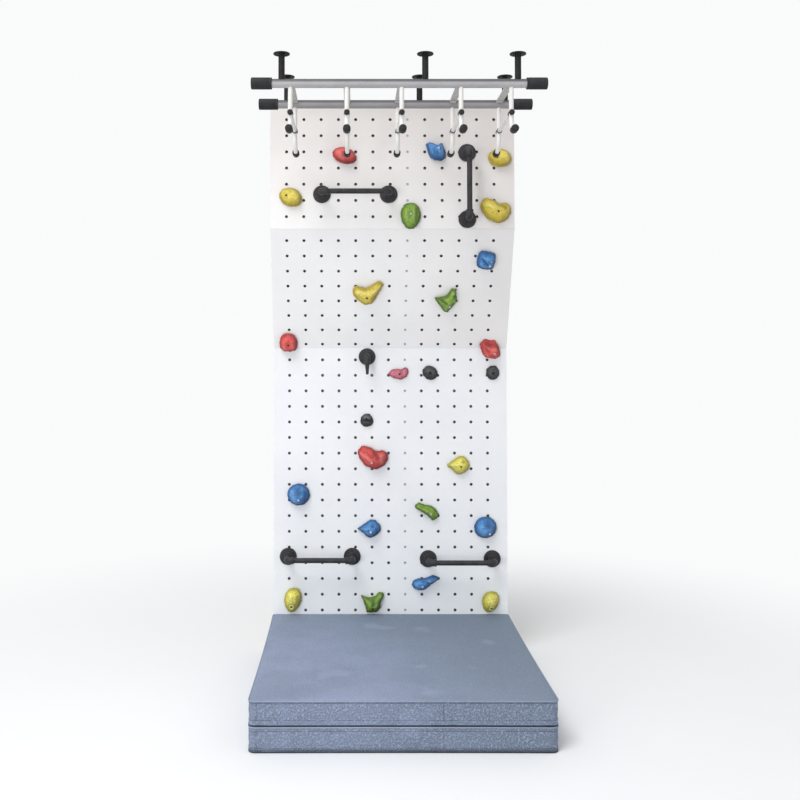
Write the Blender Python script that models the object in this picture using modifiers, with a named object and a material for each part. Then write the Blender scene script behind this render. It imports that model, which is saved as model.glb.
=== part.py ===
"""Indoor climbing wall with bolted holds, pipe grab bars, a ceiling rack of rungs and a landing mat.

Metres, +Z up. A climber faces the boards from -Y. The origin is at the centre of the base.
"""

import math
from dataclasses import dataclass

import bmesh
import bpy
from mathutils import Matrix, Vector

# Three boards on top of each other: the middle one leans out over the climber
BOARD_WIDTH = 1.200
BOARD_THICKNESS = 0.018
LOWER_LENGTH = 1.560
MIDDLE_LENGTH = 0.644
MIDDLE_LEAN = math.radians(24.66)
UPPER_LENGTH = 0.600

# Grid of bolt holes
HOLE_RADIUS = 0.006
HOLE_SIDES = 4
HOLE_EDGE = 0.030
COLUMN_PITCH = 0.085
ROW_PITCH = 0.080
FIRST_COLUMN = 0.080
FIRST_ROW_LOWER = 0.060
FIRST_ROW_MIDDLE = 0.0235
FIRST_ROW_UPPER = 0.060

# Frames behind the boards
STUD_WIDTH = 0.045
STUD_DEPTH = 0.045
TOP_TIE_HEIGHT = 0.045
CENTRE_FRAME_COLUMN = 7

# Clearance between pieces that touch
FIT_GAP = 0.0003

# Holds: share of the outline and of the depth at each ring, from the board outwards
HOLD_RINGS = ((0.94, 0.0), (1.0, 0.30), (0.84, 0.74), (0.46, 0.96))
UNDERCUT_RINGS = ((0.64, 0.0), (1.0, 0.36), (0.84, 0.76), (0.46, 0.96))
PEBBLE_POINTS = 12

# Grab bars of black pipe on round flanges
PIPE_RADIUS = 0.0130
PIPE_RESOLUTION = 2
FITTING_SCALE = 1.40
FITTING_REACH = 0.034
FITTING_STEP = 0.001
BEND_RADIUS = 0.020
BEND_STEPS = 3
FLANGE_RADIUS = 0.0435
FLANGE_THICKNESS = 0.007
HUB_RADIUS = 0.0215
HUB_HEIGHT = 0.024
FLANGE_SIDES = 14
BAR_SPAN = 0.328
BAR_STANDOFF = 0.100
PEG_STANDOFF = 0.062
PEG_DROP = 0.090
PEG_TIP_SCALE = 0.50

# Rack under the ceiling
CEILING_HEIGHT = 2.800
RAIL_DROP = 0.128
RAIL_LENGTH = 1.2464
RAIL_RADIUS = 0.019
RAIL_WALL = 0.002
RAIL_SIDES = 16
RAIL_SPACING = 0.340
RACK_FORWARD = 0.3453
SLEEVE_RADIUS = 0.025
SLEEVE_LENGTH = 0.0875
SLEEVE_END_WALL = 0.005
SLEEVE_CHAMFER = 0.006
POST_RADIUS = 0.0135
POST_FLANGE_RADIUS = 0.035
POST_FLANGE_THICKNESS = 0.005
POST_SIDES = 12

# Places along the rails, from -1 at the left sleeve to 1 at the right one
POST_PLACES = (("left", -0.924), ("centre", 0.205), ("right", 0.933))
RUNG_PLACES = (-0.855, -0.411, 0.019, 0.485, 0.879)

# Hanging rungs under the rails
LEG_RADIUS = 0.010
RUNG_RADIUS = 0.009
RUNG_CAP_RADIUS = 0.012
RUNG_CAP_LENGTH = 0.008
RUNG_OVERHANG = 0.020
RUNG_DROP = 0.125
LEG_DROP = 0.210
LEG_REACH = 0.100
LEG_BEND_RADIUS = 0.065
LEG_BEND_ANGLE = math.radians(90)
LEG_BEND_STEPS = 4
GRIP_RADIUS = 0.016
GRIP_STEP = 0.001
GRIP_ROUND = 0.004
TIE_WIDTH = 0.028
TIE_THICKNESS = 0.012
TIE_RISE = 0.006

# Landing mat of two loose layers
MAT_WIDTH = BOARD_WIDTH
MAT_DEPTH = 1.200
MAT_LAYER = 0.100
MAT_TO_WALL = 0.0008
MAT_CROWN = 0.006
MAT_DRAW_IN = 0.006
MAT_CORNER = 0.022
MAT_SIDE_STEPS = 4
HOLD_OVER_MAT = 0.012

# Section of a layer: inset from its widest outline, and height as a share of its side or of its crown
MAT_SIDE = ((0.012, 0.0), (0.003, 0.08), (0.0, 0.28), (0.0, 0.72), (0.003, 0.92), (0.013, 1.0))
MAT_TOP = ((0.080, 0.55), (0.260, 0.92))

# Places worked out from the sizes above
TOTAL_DEPTH = MAT_DEPTH + MAT_TO_WALL + BOARD_THICKNESS + FIT_GAP + STUD_DEPTH
FACE_Y = TOTAL_DEPTH / 2 - STUD_DEPTH - FIT_GAP - BOARD_THICKNESS
MIDDLE_RISE = MIDDLE_LENGTH * math.cos(MIDDLE_LEAN)
MIDDLE_RUN = MIDDLE_LENGTH * math.sin(MIDDLE_LEAN)
UPPER_FACE_Y = FACE_Y - MIDDLE_RUN
BOARDS_TOP = LOWER_LENGTH + MIDDLE_RISE + UPPER_LENGTH
RAIL_HEIGHT = CEILING_HEIGHT - RAIL_DROP
REAR_RAIL_Y = UPPER_FACE_Y - RACK_FORWARD
FRONT_RAIL_Y = REAR_RAIL_Y - RAIL_SPACING
MAT_MIDDLE_Y = FACE_Y - MAT_TO_WALL - MAT_DEPTH / 2
MAT_HEIGHT = 2 * MAT_LAYER + FIT_GAP
FREE_RAIL = RAIL_LENGTH / 2 - SLEEVE_LENGTH
LOWEST_HOLD_ROW = math.ceil((MAT_HEIGHT + HOLD_OVER_MAT - FIRST_ROW_LOWER) / ROW_PITCH)


@dataclass(frozen=True)
class Board:
    """A drilled board. Its foot is the middle of the lower edge of its front face."""

    name: str
    length: float
    lean: float
    first_row: float
    foot: tuple

    def matrix(self):
        """Frame on the front face: X along the board, Y up its face, Z out of its face."""
        across = Vector((1.0, 0.0, 0.0))
        up = Vector((0.0, -math.sin(self.lean), math.cos(self.lean)))
        axes = Matrix((across, up, across.cross(up))).transposed().to_4x4()
        return Matrix.Translation(self.foot) @ axes

    def rows(self):
        return int((self.length - self.first_row - HOLE_EDGE) / ROW_PITCH + 1e-6) + 1

    def row_up(self, row):
        """Height of a row up the face. A negative row counts down from the top one."""
        return self.first_row + ROW_PITCH * (row if row >= 0 else self.rows() + row)


LOWER = Board("sheet_lower", LOWER_LENGTH, 0.0, FIRST_ROW_LOWER, (0.0, FACE_Y, 0.0))
MIDDLE = Board("sheet_middle", MIDDLE_LENGTH, MIDDLE_LEAN, FIRST_ROW_MIDDLE, (0.0, FACE_Y, LOWER_LENGTH))
UPPER = Board("sheet_upper", UPPER_LENGTH, 0.0, FIRST_ROW_UPPER,
              (0.0, UPPER_FACE_Y, LOWER_LENGTH + MIDDLE_RISE))


def columns():
    return int((BOARD_WIDTH - FIRST_COLUMN - HOLE_EDGE) / COLUMN_PITCH + 1e-6) + 1


def column_x(column):
    """Place of a column across the boards. A negative column counts from the last one."""
    steps = column if column >= 0 else columns() + column
    return FIRST_COLUMN - BOARD_WIDTH / 2 + COLUMN_PITCH * steps


# Outlines of the holds that are not plain pebbles, in halves of their width and height
OUTLINES = {
    "eared block": ((-0.96, 0.82), (-0.53, 0.98), (0.13, 0.67), (0.64, 0.88), (0.96, 0.02),
                    (1.0, -0.63), (0.56, -0.99), (-0.16, -0.85), (-0.60, -0.49), (-0.82, 0.31)),
    "bean": ((-1.0, 0.47), (-0.69, 1.0), (-0.08, 0.79), (0.20, 0.50), (0.63, 0.60), (0.92, 0.41),
             (0.99, -0.05), (0.77, -0.62), (0.20, -1.0), (-0.50, -0.68), (-0.88, -0.05)),
    "hook": ((-0.80, 0.61), (-0.14, 0.42), (0.15, 0.61), (0.62, 1.0), (0.98, 0.79), (0.81, 0.24),
             (0.53, -0.30), (0.29, -0.85), (-0.19, -1.0), (-0.61, -0.61), (-0.95, -0.12), (-0.97, 0.30)),
    "arrow": ((-0.99, 0.25), (-0.35, 0.28), (0.10, 0.47), (0.49, 0.99), (0.90, 0.99), (0.90, 0.47),
              (1.0, -0.08), (0.62, -0.51), (0.23, -0.97), (-0.09, -1.0), (-0.47, -0.45), (-0.80, -0.05)),
    "two horns": ((-1.0, 0.70), (-0.35, 0.42), (0.26, 0.60), (0.57, 0.98), (0.88, 0.94), (1.0, 0.66),
                  (0.69, -0.10), (0.72, -0.52), (0.32, -0.98), (-0.48, -0.98), (-0.60, -0.38), (-0.78, 0.24)),
    "teardrop": ((-1.0, 0.01), (-0.38, 0.58), (0.11, 0.98), (0.54, 0.92), (0.97, 0.28),
                 (0.97, -0.18), (0.67, -0.63), (0.11, -0.98), (-0.20, -0.79), (-0.69, -0.25)),
    "slug": ((-0.95, 0.75), (-0.66, 0.98), (-0.20, 0.75), (0.33, 0.67), (0.74, 0.28), (1.0, -0.31),
             (0.80, -0.83), (0.45, -0.98), (0.10, -0.51), (-0.20, -0.20), (-0.72, 0.20), (-0.98, 0.43)),
    "bulb": ((-1.0, -0.16), (-0.80, 0.42), (-0.44, 0.56), (-0.02, 0.56), (0.30, 0.87), (0.61, 0.98),
             (1.0, 0.60), (0.71, 0.11), (0.30, -0.33), (-0.02, -0.87), (-0.44, -1.0), (-0.83, -0.69)),
}


@dataclass(frozen=True)
class Hold:
    """A bolted hold: the hole it sits at, the shift of its middle from there, its size and its form."""

    name: str
    colour: str
    board: Board
    column: int
    row: int
    shift: tuple
    size: tuple
    outline: str = "pebble"
    turn: float = 0.0
    taper: float = 0.0
    squareness: float = 1.0
    crown: tuple = (0.0, 0.008)
    rings: tuple = HOLD_RINGS
    foot: tuple = (0.0, 0.0)


HOLDS = (
    Hold("hold_red_oval", "red", UPPER, 3, 4, (0.030, -0.023), (0.124, 0.070, 0.055), turn=-14),
    Hold("hold_blue_block", "blue", UPPER, -4, 4, (-0.032, -0.003), (0.096, 0.087, 0.055), "eared block"),
    Hold("hold_yellow_oval_right", "yellow", UPPER, -1, 4, (0.028, -0.033), (0.113, 0.077, 0.055), turn=-4),
    Hold("hold_yellow_oval_left", "yellow", UPPER, 0, 1, (0.021, 0.014), (0.112, 0.078, 0.050), turn=-16),
    Hold("hold_green_egg", "green", UPPER, 7, 0, (0.015, 0.0), (0.095, 0.123, 0.055), taper=0.10),
    Hold("hold_yellow_bean", "yellow", UPPER, -1, 0, (0.006, 0.026), (0.141, 0.117, 0.065), "bean"),
    Hold("hold_blue_cube", "blue", MIDDLE, -1, 6, (-0.032, -0.023), (0.086, 0.074, 0.060),
         turn=-10, squareness=0.55),
    Hold("hold_yellow_hook", "yellow", MIDDLE, 5, 4, (-0.023, -0.033), (0.150, 0.110, 0.055), "hook"),
    Hold("hold_green_arrow", "green", MIDDLE, -4, 3, (0.030, 0.004), (0.108, 0.110, 0.055), "arrow"),
    Hold("hold_red_knob", "red", MIDDLE, 0, 0, (-0.004, 0.014), (0.085, 0.078, 0.050),
         taper=-0.10, squareness=0.80),
    Hold("hold_red_block", "red", MIDDLE, -1, 0, (0.012, -0.026), (0.099, 0.078, 0.060), "eared block",
         rings=UNDERCUT_RINGS, foot=(0.0, 0.028), crown=(0.0, 0.002)),
    Hold("foothold_pink", "pink", LOWER, 7, -2, (-0.033, 0.008), (0.098, 0.066, 0.030), "bean"),
    Hold("foothold_black_dome", "black", LOWER, -4, -2, (-0.040, 0.011), (0.080, 0.070, 0.030), turn=-30),
    Hold("foothold_black_disc", "black", LOWER, -1, -2, (0.028, 0.011), (0.067, 0.072, 0.030)),
    Hold("foothold_black_pinch", "black", LOWER, 5, 14, (-0.026, 0.007), (0.066, 0.066, 0.028), taper=-0.15),
    Hold("hold_red_bean", "red", LOWER, 5, 12, (0.005, -0.023), (0.153, 0.116, 0.065), "bean"),
    Hold("hold_yellow_lemon", "yellow", LOWER, -3, 11, (0.019, 0.016), (0.104, 0.087, 0.050), "teardrop"),
    Hold("hold_blue_round_left", "blue", LOWER, 1, 9, (-0.036, 0.027), (0.113, 0.107, 0.060)),
    Hold("hold_green_slug", "green", LOWER, 8, 8, (0.026, 0.020), (0.121, 0.088, 0.045), "slug"),
    Hold("hold_blue_teardrop", "blue", LOWER, 5, 7, (-0.014, 0.013), (0.116, 0.087, 0.055), "teardrop"),
    Hold("hold_blue_round_right", "blue", LOWER, -1, 7, (-0.014, 0.019), (0.113, 0.106, 0.060)),
    Hold("hold_blue_bulb", "blue", LOWER, 8, 4, (0.018, -0.022), (0.136, 0.077, 0.045), "bulb"),
    Hold("hold_yellow_egg_left", "yellow", LOWER, 0, LOWEST_HOLD_ROW, (0.018, 0.051),
         (0.083, 0.120, 0.055), taper=0.18, crown=(0.0, 0.014)),
    Hold("hold_green_horns", "green", LOWER, 5, LOWEST_HOLD_ROW, (0.001, 0.041),
         (0.116, 0.100, 0.055), "two horns"),
    Hold("hold_yellow_egg_right", "yellow", LOWER, -1, LOWEST_HOLD_ROW, (0.009, 0.040),
         (0.083, 0.104, 0.055), taper=0.18, crown=(0.0, 0.012)),
)

# Colour, roughness and metallic value of each finish
FINISHES = {
    "board paint": ((0.80, 0.79, 0.79), 0.62, 0.0),
    "bare timber": ((0.62, 0.47, 0.30), 0.72, 0.0),
    "red": ((0.62, 0.10, 0.09), 0.60, 0.0),
    "blue": ((0.06, 0.17, 0.40), 0.60, 0.0),
    "yellow": ((0.74, 0.62, 0.10), 0.60, 0.0),
    "green": ((0.16, 0.33, 0.06), 0.60, 0.0),
    "pink": ((0.58, 0.22, 0.29), 0.60, 0.0),
    "black": ((0.05, 0.05, 0.055), 0.65, 0.0),
    "black pipe": ((0.045, 0.045, 0.05), 0.55, 0.6),
    "galvanised steel": ((0.50, 0.50, 0.51), 0.42, 0.9),
    "black rubber": ((0.03, 0.03, 0.03), 0.75, 0.0),
    "white paint": ((0.82, 0.81, 0.78), 0.38, 0.0),
    "mat cover": ((0.25, 0.29, 0.37), 0.80, 0.0),
}


def clear_objects():
    for old in list(bpy.data.objects):
        bpy.data.objects.remove(old, do_unlink=True)


def new_collection(name):
    collection = bpy.data.collections.new(name)
    bpy.context.scene.collection.children.link(collection)
    return collection


def make_finish(name):
    colour, roughness, metallic = FINISHES[name]
    material = bpy.data.materials.new(name)
    material.use_nodes = True
    shader = material.node_tree.nodes["Principled BSDF"]
    shader.inputs["Base Color"].default_value = (*colour, 1.0)
    shader.inputs["Roughness"].default_value = roughness
    shader.inputs["Metallic"].default_value = metallic
    material.diffuse_color = (*colour, 1.0)
    return material


def add_object(name, data, collection):
    piece = bpy.data.objects.new(name, data)
    collection.objects.link(piece)
    return piece


def add_piece(name, mesh, finish, matrix=None):
    """Puts a finished mesh into the part under its node name."""
    if not mesh.materials:
        mesh.materials.append(make_finish(finish))
    piece = add_object(name, mesh, bpy.data.collections["climbing_wall"])
    piece.matrix_world = matrix or Matrix.Identity(4)
    return piece


def evaluated_mesh(piece):
    """Mesh of an object with its modifiers applied, its loose caps welded and its round sides smooth."""
    bpy.context.view_layer.update()
    mesh = bpy.data.meshes.new_from_object(piece.evaluated_get(bpy.context.evaluated_depsgraph_get()))
    form = bmesh.new()
    form.from_mesh(mesh)
    bmesh.ops.remove_doubles(form, verts=form.verts, dist=1e-6)
    form.to_mesh(mesh)
    form.free()
    mesh.shade_smooth()
    mesh.set_sharp_from_angle(angle=math.radians(40))
    return mesh


def solid_from(source):
    """Replaces a curve or a modified object by a plain mesh object in the same place."""
    name, place, home = source.name, source.matrix_world.copy(), source.users_collection[0]
    mesh = evaluated_mesh(source)
    bpy.data.objects.remove(source, do_unlink=True)
    solid = add_object(name, mesh, home)
    solid.matrix_world = place
    return solid


def flat_outline(name, loops, thickness):
    """Plate from flat loops: the first is its edge and the others are holes in it."""
    curve = bpy.data.curves.new(name, "CURVE")
    curve.dimensions = "2D"
    curve.fill_mode = "BOTH"
    curve.extrude = thickness / 2
    for loop in loops:
        spline = curve.splines.new("POLY")
        spline.points.add(len(loop) - 1)
        spline.use_cyclic_u = True
        for point, (x, y) in zip(spline.points, loop):
            point.co = (x, y, 0.0, 1.0)
    return solid_from(add_object(name, curve, bpy.data.collections["cutters"]))


def tube(name, path, radius, resolution, scales=None):
    """Round bar along a path, with a scale of its radius at each point."""
    curve = bpy.data.curves.new(name, "CURVE")
    curve.dimensions = "3D"
    curve.bevel_depth = radius
    curve.bevel_resolution = resolution
    curve.use_fill_caps = True
    spline = curve.splines.new("POLY")
    spline.points.add(len(path) - 1)
    for point, place, scale in zip(spline.points, path, scales or [1.0] * len(path)):
        point.co = (*place, 1.0)
        point.radius = scale
    return solid_from(add_object(name, curve, bpy.data.collections["cutters"]))


def turned(name, profile, sides, closed=False, matrix=None):
    """Turned shape from a profile of radius and height that runs down its outer side."""
    mesh = bpy.data.meshes.new(name)
    count = len(profile)
    edges = [(i, (i + 1) % count) for i in range(count if closed else count - 1)]
    mesh.from_pydata([(radius, 0.0, height) for radius, height in profile], edges, [])
    piece = add_object(name, mesh, bpy.data.collections["cutters"])
    screw = piece.modifiers.new("turn", "SCREW")
    screw.axis = "Z"
    screw.angle = math.tau
    screw.steps = sides
    screw.render_steps = sides
    screw.use_merge_vertices = True
    screw.merge_threshold = 0.00001
    piece.matrix_world = matrix or Matrix.Identity(4)
    return solid_from(piece)


def combine(base, tools, operation, keep_tools=False):
    """Joins or cuts a solid with others and returns it as one plain mesh object."""
    for tool in tools:
        modifier = base.modifiers.new(tool.name, "BOOLEAN")
        modifier.operation = operation
        modifier.solver = "EXACT"
        modifier.object = tool
    result = solid_from(base)
    if not keep_tools:
        for tool in tools:
            bpy.data.objects.remove(tool, do_unlink=True)
    return result


def into_part(solid, name, finish):
    """Moves a solid out of the workshop collection into the part."""
    mesh, place = solid.data, solid.matrix_world.copy()
    bpy.data.objects.remove(solid, do_unlink=True)
    return add_piece(name, mesh, finish, place)


def ring_of(centre, radius, sides):
    """Regular polygon with the area of a circle of the given radius."""
    step = math.tau / sides
    corner = radius * math.sqrt(step / math.sin(step))
    return [(centre[0] + corner * math.cos(step * (i + 0.5)), centre[1] + corner * math.sin(step * (i + 0.5)))
            for i in range(sides)]


def make_board(board):
    """Drilled board whose ends are cut level, so that the boards stand on each other."""
    half = BOARD_WIDTH / 2
    top = board.length - FIT_GAP
    loops = [[(-half, 0.0), (half, 0.0), (half, top), (-half, top)]]
    for row in range(board.rows()):
        for column in range(columns()):
            loops.append(ring_of((column_x(column), board.row_up(row)), HOLE_RADIUS, HOLE_SIDES))
    sheet = flat_outline(board.name, loops, BOARD_THICKNESS)
    slant = BOARD_THICKNESS * math.tan(board.lean)
    for vertex in sheet.data.vertices:
        if vertex.co.z < 0 and abs(abs(vertex.co.x) - half) < 1e-5:
            vertex.co.y -= slant
    sheet.matrix_world = board.matrix() @ Matrix.Translation((0.0, 0.0, -BOARD_THICKNESS / 2))
    into_part(sheet, board.name, "board paint")


def frame_loops():
    """Side outline of a frame and the window between its leaning stud and its back stud."""
    slope = math.tan(MIDDLE_LEAN)
    front = FACE_Y + BOARD_THICKNESS + FIT_GAP
    back = front + STUD_DEPTH
    upper_front = UPPER_FACE_Y + BOARD_THICKNESS + FIT_GAP
    level_board = (BOARD_THICKNESS + FIT_GAP) / math.cos(MIDDLE_LEAN)
    level_stud = level_board + STUD_DEPTH / math.cos(MIDDLE_LEAN)

    def height_on(level, y):
        """Height at which a line parallel to the leaning board crosses a depth."""
        return LOWER_LENGTH + (FACE_Y + level - y) / slope

    edge = [(back, 0.0), (back, BOARDS_TOP), (upper_front, BOARDS_TOP),
            (upper_front, height_on(level_board, upper_front)), (FACE_Y + level_board, LOWER_LENGTH),
            (front, LOWER_LENGTH - level_board), (front, 0.0)]
    upper_back = upper_front + STUD_DEPTH
    window = [(front, BOARDS_TOP - TOP_TIE_HEIGHT), (upper_back, BOARDS_TOP - TOP_TIE_HEIGHT),
              (upper_back, height_on(level_stud, upper_back)), (front, height_on(level_stud, front))]
    return [edge, window]


def make_frames():
    """Three frames of studs behind the boards: one at each side and one on a hole column."""
    upright = Matrix(((0, 0, 1, 0), (1, 0, 0, 0), (0, 1, 0, 0), (0, 0, 0, 1)))
    side = (BOARD_WIDTH - STUD_WIDTH) / 2
    for name, x in (("frame_left", -side), ("frame_centre", column_x(CENTRE_FRAME_COLUMN)),
                    ("frame_right", side)):
        frame = flat_outline(name, frame_loops(), STUD_WIDTH)
        frame.matrix_world = Matrix.Translation((x, 0.0, 0.0)) @ upright
        into_part(frame, name, "bare timber")


def pebble(taper, squareness):
    """Outline of a rounded stone. Taper narrows its lower end, and a low squareness fills its corners."""
    outline = []
    for step in range(PEBBLE_POINTS):
        angle = math.tau * step / PEBBLE_POINTS
        across, up = math.cos(angle), math.sin(angle)
        across = math.copysign(abs(across) ** squareness, across)
        up = math.copysign(abs(up) ** squareness, up)
        outline.append((across * (1 + taper * up), up))
    return outline


def loft(name, rings, peak):
    """Closed skin through rings of points, flat on the first and drawn to a peak past the last."""
    form = bmesh.new()
    loops = [[form.verts.new(point) for point in ring] for ring in rings]
    count = len(loops[0])
    for inner, outer in zip(loops, loops[1:]):
        for i in range(count):
            j = (i + 1) % count
            form.faces.new((inner[i], inner[j], outer[j], outer[i]))
    form.faces.new(loops[0])
    top = form.verts.new(peak)
    for i in range(count):
        form.faces.new((loops[-1][i], loops[-1][(i + 1) % count], top))
    bmesh.ops.recalc_face_normals(form, faces=form.faces)
    mesh = bpy.data.meshes.new(name)
    form.to_mesh(mesh)
    form.free()
    mesh.shade_smooth()
    return mesh


def place_on(board, column, row, shift, rise=0.0):
    """Frame on a board's face at a hole, moved across and up from it."""
    place = (column_x(column) + shift[0], board.row_up(row) + shift[1], rise)
    return board.matrix() @ Matrix.Translation(place)


def make_hold(hold):
    """Hold from scaled copies of its outline, between a flat back and a raised crown."""
    width, height, depth = hold.size
    unit = OUTLINES.get(hold.outline) or pebble(hold.taper, hold.squareness)
    turn = Matrix.Rotation(math.radians(hold.turn), 2)
    outline = [turn @ Vector((x * width / 2, y * height / 2)) for x, y in unit]
    crown, foot = Vector(hold.crown), Vector(hold.foot)
    rings = []
    for scale, rise in hold.rings:
        centre = crown * rise + (foot if rise == 0 else Vector((0.0, 0.0)))
        rings.append([(*(point * scale + centre), depth * rise) for point in outline])
    mesh = loft(hold.name, rings, (*crown, depth))
    place = place_on(hold.board, hold.column, hold.row, hold.shift, FIT_GAP)
    add_piece(hold.name, mesh, hold.colour, place)


def flange(name, x):
    """Round pipe flange with a hub, standing on the board."""
    profile = [(0.0, HUB_HEIGHT), (HUB_RADIUS, HUB_HEIGHT), (HUB_RADIUS, FLANGE_THICKNESS),
               (FLANGE_RADIUS, FLANGE_THICKNESS), (FLANGE_RADIUS, FIT_GAP), (0.0, FIT_GAP)]
    return turned(name, profile, FLANGE_SIDES, matrix=Matrix.Translation((x, 0.0, 0.0)))


def elbow(corner, towards, away):
    """Path and scales through a pipe elbow, from the pipe that arrives to the one that leaves."""
    arrive, leave = Vector(towards), Vector(away)
    corner = Vector(corner)
    inner = corner + arrive * BEND_RADIUS + leave * BEND_RADIUS
    path = [corner + arrive * FITTING_REACH, corner + arrive * (FITTING_REACH - FITTING_STEP)]
    for step in range(BEND_STEPS + 1):
        angle = math.pi / 2 * step / BEND_STEPS
        path.append(inner - BEND_RADIUS * (leave * math.cos(angle) + arrive * math.sin(angle)))
    path += [corner + leave * (FITTING_REACH - FITTING_STEP), corner + leave * FITTING_REACH]
    return path, [1.0] + [FITTING_SCALE] * (BEND_STEPS + 3) + [1.0]


def make_bar_mesh():
    """Grab bar along X: a flange, an elbow, the bar, a second elbow and a second flange."""
    half = BAR_SPAN / 2
    seat = FLANGE_THICKNESS / 2
    inward, outward = (0, 0, -1), (0, 0, 1)
    first, first_scales = elbow((-half, 0, BAR_STANDOFF), inward, (1, 0, 0))
    second, second_scales = elbow((half, 0, BAR_STANDOFF), (-1, 0, 0), inward)
    path = [Vector((-half, 0, seat)), *first, *second, Vector((half, 0, seat))]
    pipe = tube("grab_bar", path, PIPE_RADIUS, PIPE_RESOLUTION, [1.0, *first_scales, *second_scales, 1.0])
    return combine(pipe, [flange("left_flange", -half), flange("right_flange", half)], "UNION")


def make_bars():
    """Four grab bars with the same form, one of them upright."""
    model = make_bar_mesh()
    quarter_turn = Matrix.Rotation(math.radians(90), 4, "Z")
    level = Matrix.Identity(4)
    places = (("grab_bar_top", UPPER, 4, 1, (-0.002, 0.030), level),
              ("grab_bar_side", UPPER, -3, 2, (0.038, -0.009), quarter_turn),
              ("grab_bar_low_left", LOWER, 2, 5, (-0.011, 0.033), level),
              ("grab_bar_low_right", LOWER, -3, 5, (0.027, 0.021), level))
    for name, board, column, row, shift, turn in places:
        add_piece(name, model.data.copy(), "black pipe", place_on(board, column, row, shift) @ turn)
    bpy.data.objects.remove(model, do_unlink=True)


def make_peg():
    """Hanging peg: a flange, an elbow that turns down and a tapered pin."""
    bend, scales = elbow((0, 0, PEG_STANDOFF), (0, 0, -1), (0, -1, 0))
    path = [Vector((0, 0, FLANGE_THICKNESS / 2)), *bend, Vector((0, -PEG_DROP, PEG_STANDOFF))]
    pin = tube("peg", path, PIPE_RADIUS, PIPE_RESOLUTION, [1.0, *scales, PEG_TIP_SCALE])
    peg = combine(pin, [flange("peg_flange", 0.0)], "UNION")
    peg.matrix_world = place_on(LOWER, 5, -1, (-0.025, 0.016))
    into_part(peg, "peg", "black pipe")


def along_x(y):
    """Lays a turned shape along X on a rail's axis."""
    return Matrix.Translation((0.0, y, RAIL_HEIGHT)) @ Matrix.Rotation(math.radians(90), 4, "Y")


def make_rails():
    """Two hollow rails, each with a sleeve over both ends."""
    half = RAIL_LENGTH / 2 - SLEEVE_END_WALL - FIT_GAP
    bore = RAIL_RADIUS - RAIL_WALL
    wall = [(RAIL_RADIUS, half), (RAIL_RADIUS, -half), (bore, -half), (bore, half)]
    socket = RAIL_RADIUS + FIT_GAP
    bottom = SLEEVE_LENGTH - SLEEVE_END_WALL
    cup = [(0.0, SLEEVE_LENGTH), (SLEEVE_RADIUS - SLEEVE_CHAMFER, SLEEVE_LENGTH),
           (SLEEVE_RADIUS, SLEEVE_LENGTH - SLEEVE_CHAMFER), (SLEEVE_RADIUS, 0.0), (socket, 0.0),
           (socket, bottom), (0.0, bottom)]
    open_end = RAIL_LENGTH / 2 - SLEEVE_LENGTH
    for row, y in (("front", FRONT_RAIL_Y), ("rear", REAR_RAIL_Y)):
        rail = turned("rail", wall, RAIL_SIDES, closed=True, matrix=along_x(y))
        into_part(rail, "rail_" + row, "galvanised steel")
        for side, turn in (("right", 0.0), ("left", math.pi)):
            place = along_x(y) @ Matrix.Rotation(turn, 4, "X") @ Matrix.Translation((0.0, 0.0, open_end))
            sleeve = turned("sleeve", cup, RAIL_SIDES, matrix=place)
            into_part(sleeve, f"sleeve_{row}_{side}", "black rubber")


def make_rail_cutters():
    """Guides that cut whatever meets a rail, with the clearance round it."""
    radius, half = RAIL_RADIUS + FIT_GAP, RAIL_LENGTH / 2
    bar = [(0.0, half), (radius, half), (radius, -half), (0.0, -half)]
    return [turned(f"rail_clearance_{row}", bar, RAIL_SIDES, matrix=along_x(y))
            for row, y in (("front", FRONT_RAIL_Y), ("rear", REAR_RAIL_Y))]


def make_posts(rail_cutters):
    """Posts with a ceiling flange, whose lower ends sit on the rails."""
    profile = [(0.0, RAIL_DROP), (POST_FLANGE_RADIUS, RAIL_DROP),
               (POST_FLANGE_RADIUS, RAIL_DROP - POST_FLANGE_THICKNESS),
               (POST_RADIUS, RAIL_DROP - POST_FLANGE_THICKNESS), (POST_RADIUS, 0.0), (0.0, 0.0)]
    for (row, y), cutter in zip((("front", FRONT_RAIL_Y), ("rear", REAR_RAIL_Y)), rail_cutters):
        for side, share in POST_PLACES:
            place = Matrix.Translation((share * FREE_RAIL, y, RAIL_HEIGHT))
            post = turned("post", profile, POST_SIDES, matrix=place)
            post = combine(post, [cutter], "DIFFERENCE", keep_tools=True)
            into_part(post, f"post_{row}_{side}", "black pipe")


def leg_path(y, outward):
    """Leg from inside a rail down and round to its grip, with a scale of its radius at each point."""
    grip = GRIP_RADIUS / LEG_RADIUS
    slope = (math.sin(LEG_BEND_ANGLE), math.cos(LEG_BEND_ANGLE))
    straight = (LEG_REACH - LEG_BEND_RADIUS * (1 - slope[1])) / slope[0]
    bend_top = LEG_BEND_RADIUS * slope[0] + straight * slope[1] - LEG_DROP
    steps = [(0.0, -RAIL_WALL, 1.0)]
    for step in range(LEG_BEND_STEPS + 1):
        angle = LEG_BEND_ANGLE * step / LEG_BEND_STEPS
        reach = LEG_BEND_RADIUS * (1 - math.cos(angle))
        level = bend_top - LEG_BEND_RADIUS * math.sin(angle)
        steps.append((reach, level, grip if step == LEG_BEND_STEPS else 1.0))
        if step == LEG_BEND_STEPS - 1:
            steps.append((reach + math.sin(angle) * GRIP_STEP, level - math.cos(angle) * GRIP_STEP, grip))
    for back, scale in ((GRIP_ROUND, grip), (0.0, grip - GRIP_ROUND / LEG_RADIUS)):
        steps.append((LEG_REACH - back * slope[0], back * slope[1] - LEG_DROP, scale))
    path = [Vector((0.0, y + outward * reach, RAIL_HEIGHT + level)) for reach, level, _ in steps]
    return path, [scale for _, _, scale in steps]


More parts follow.
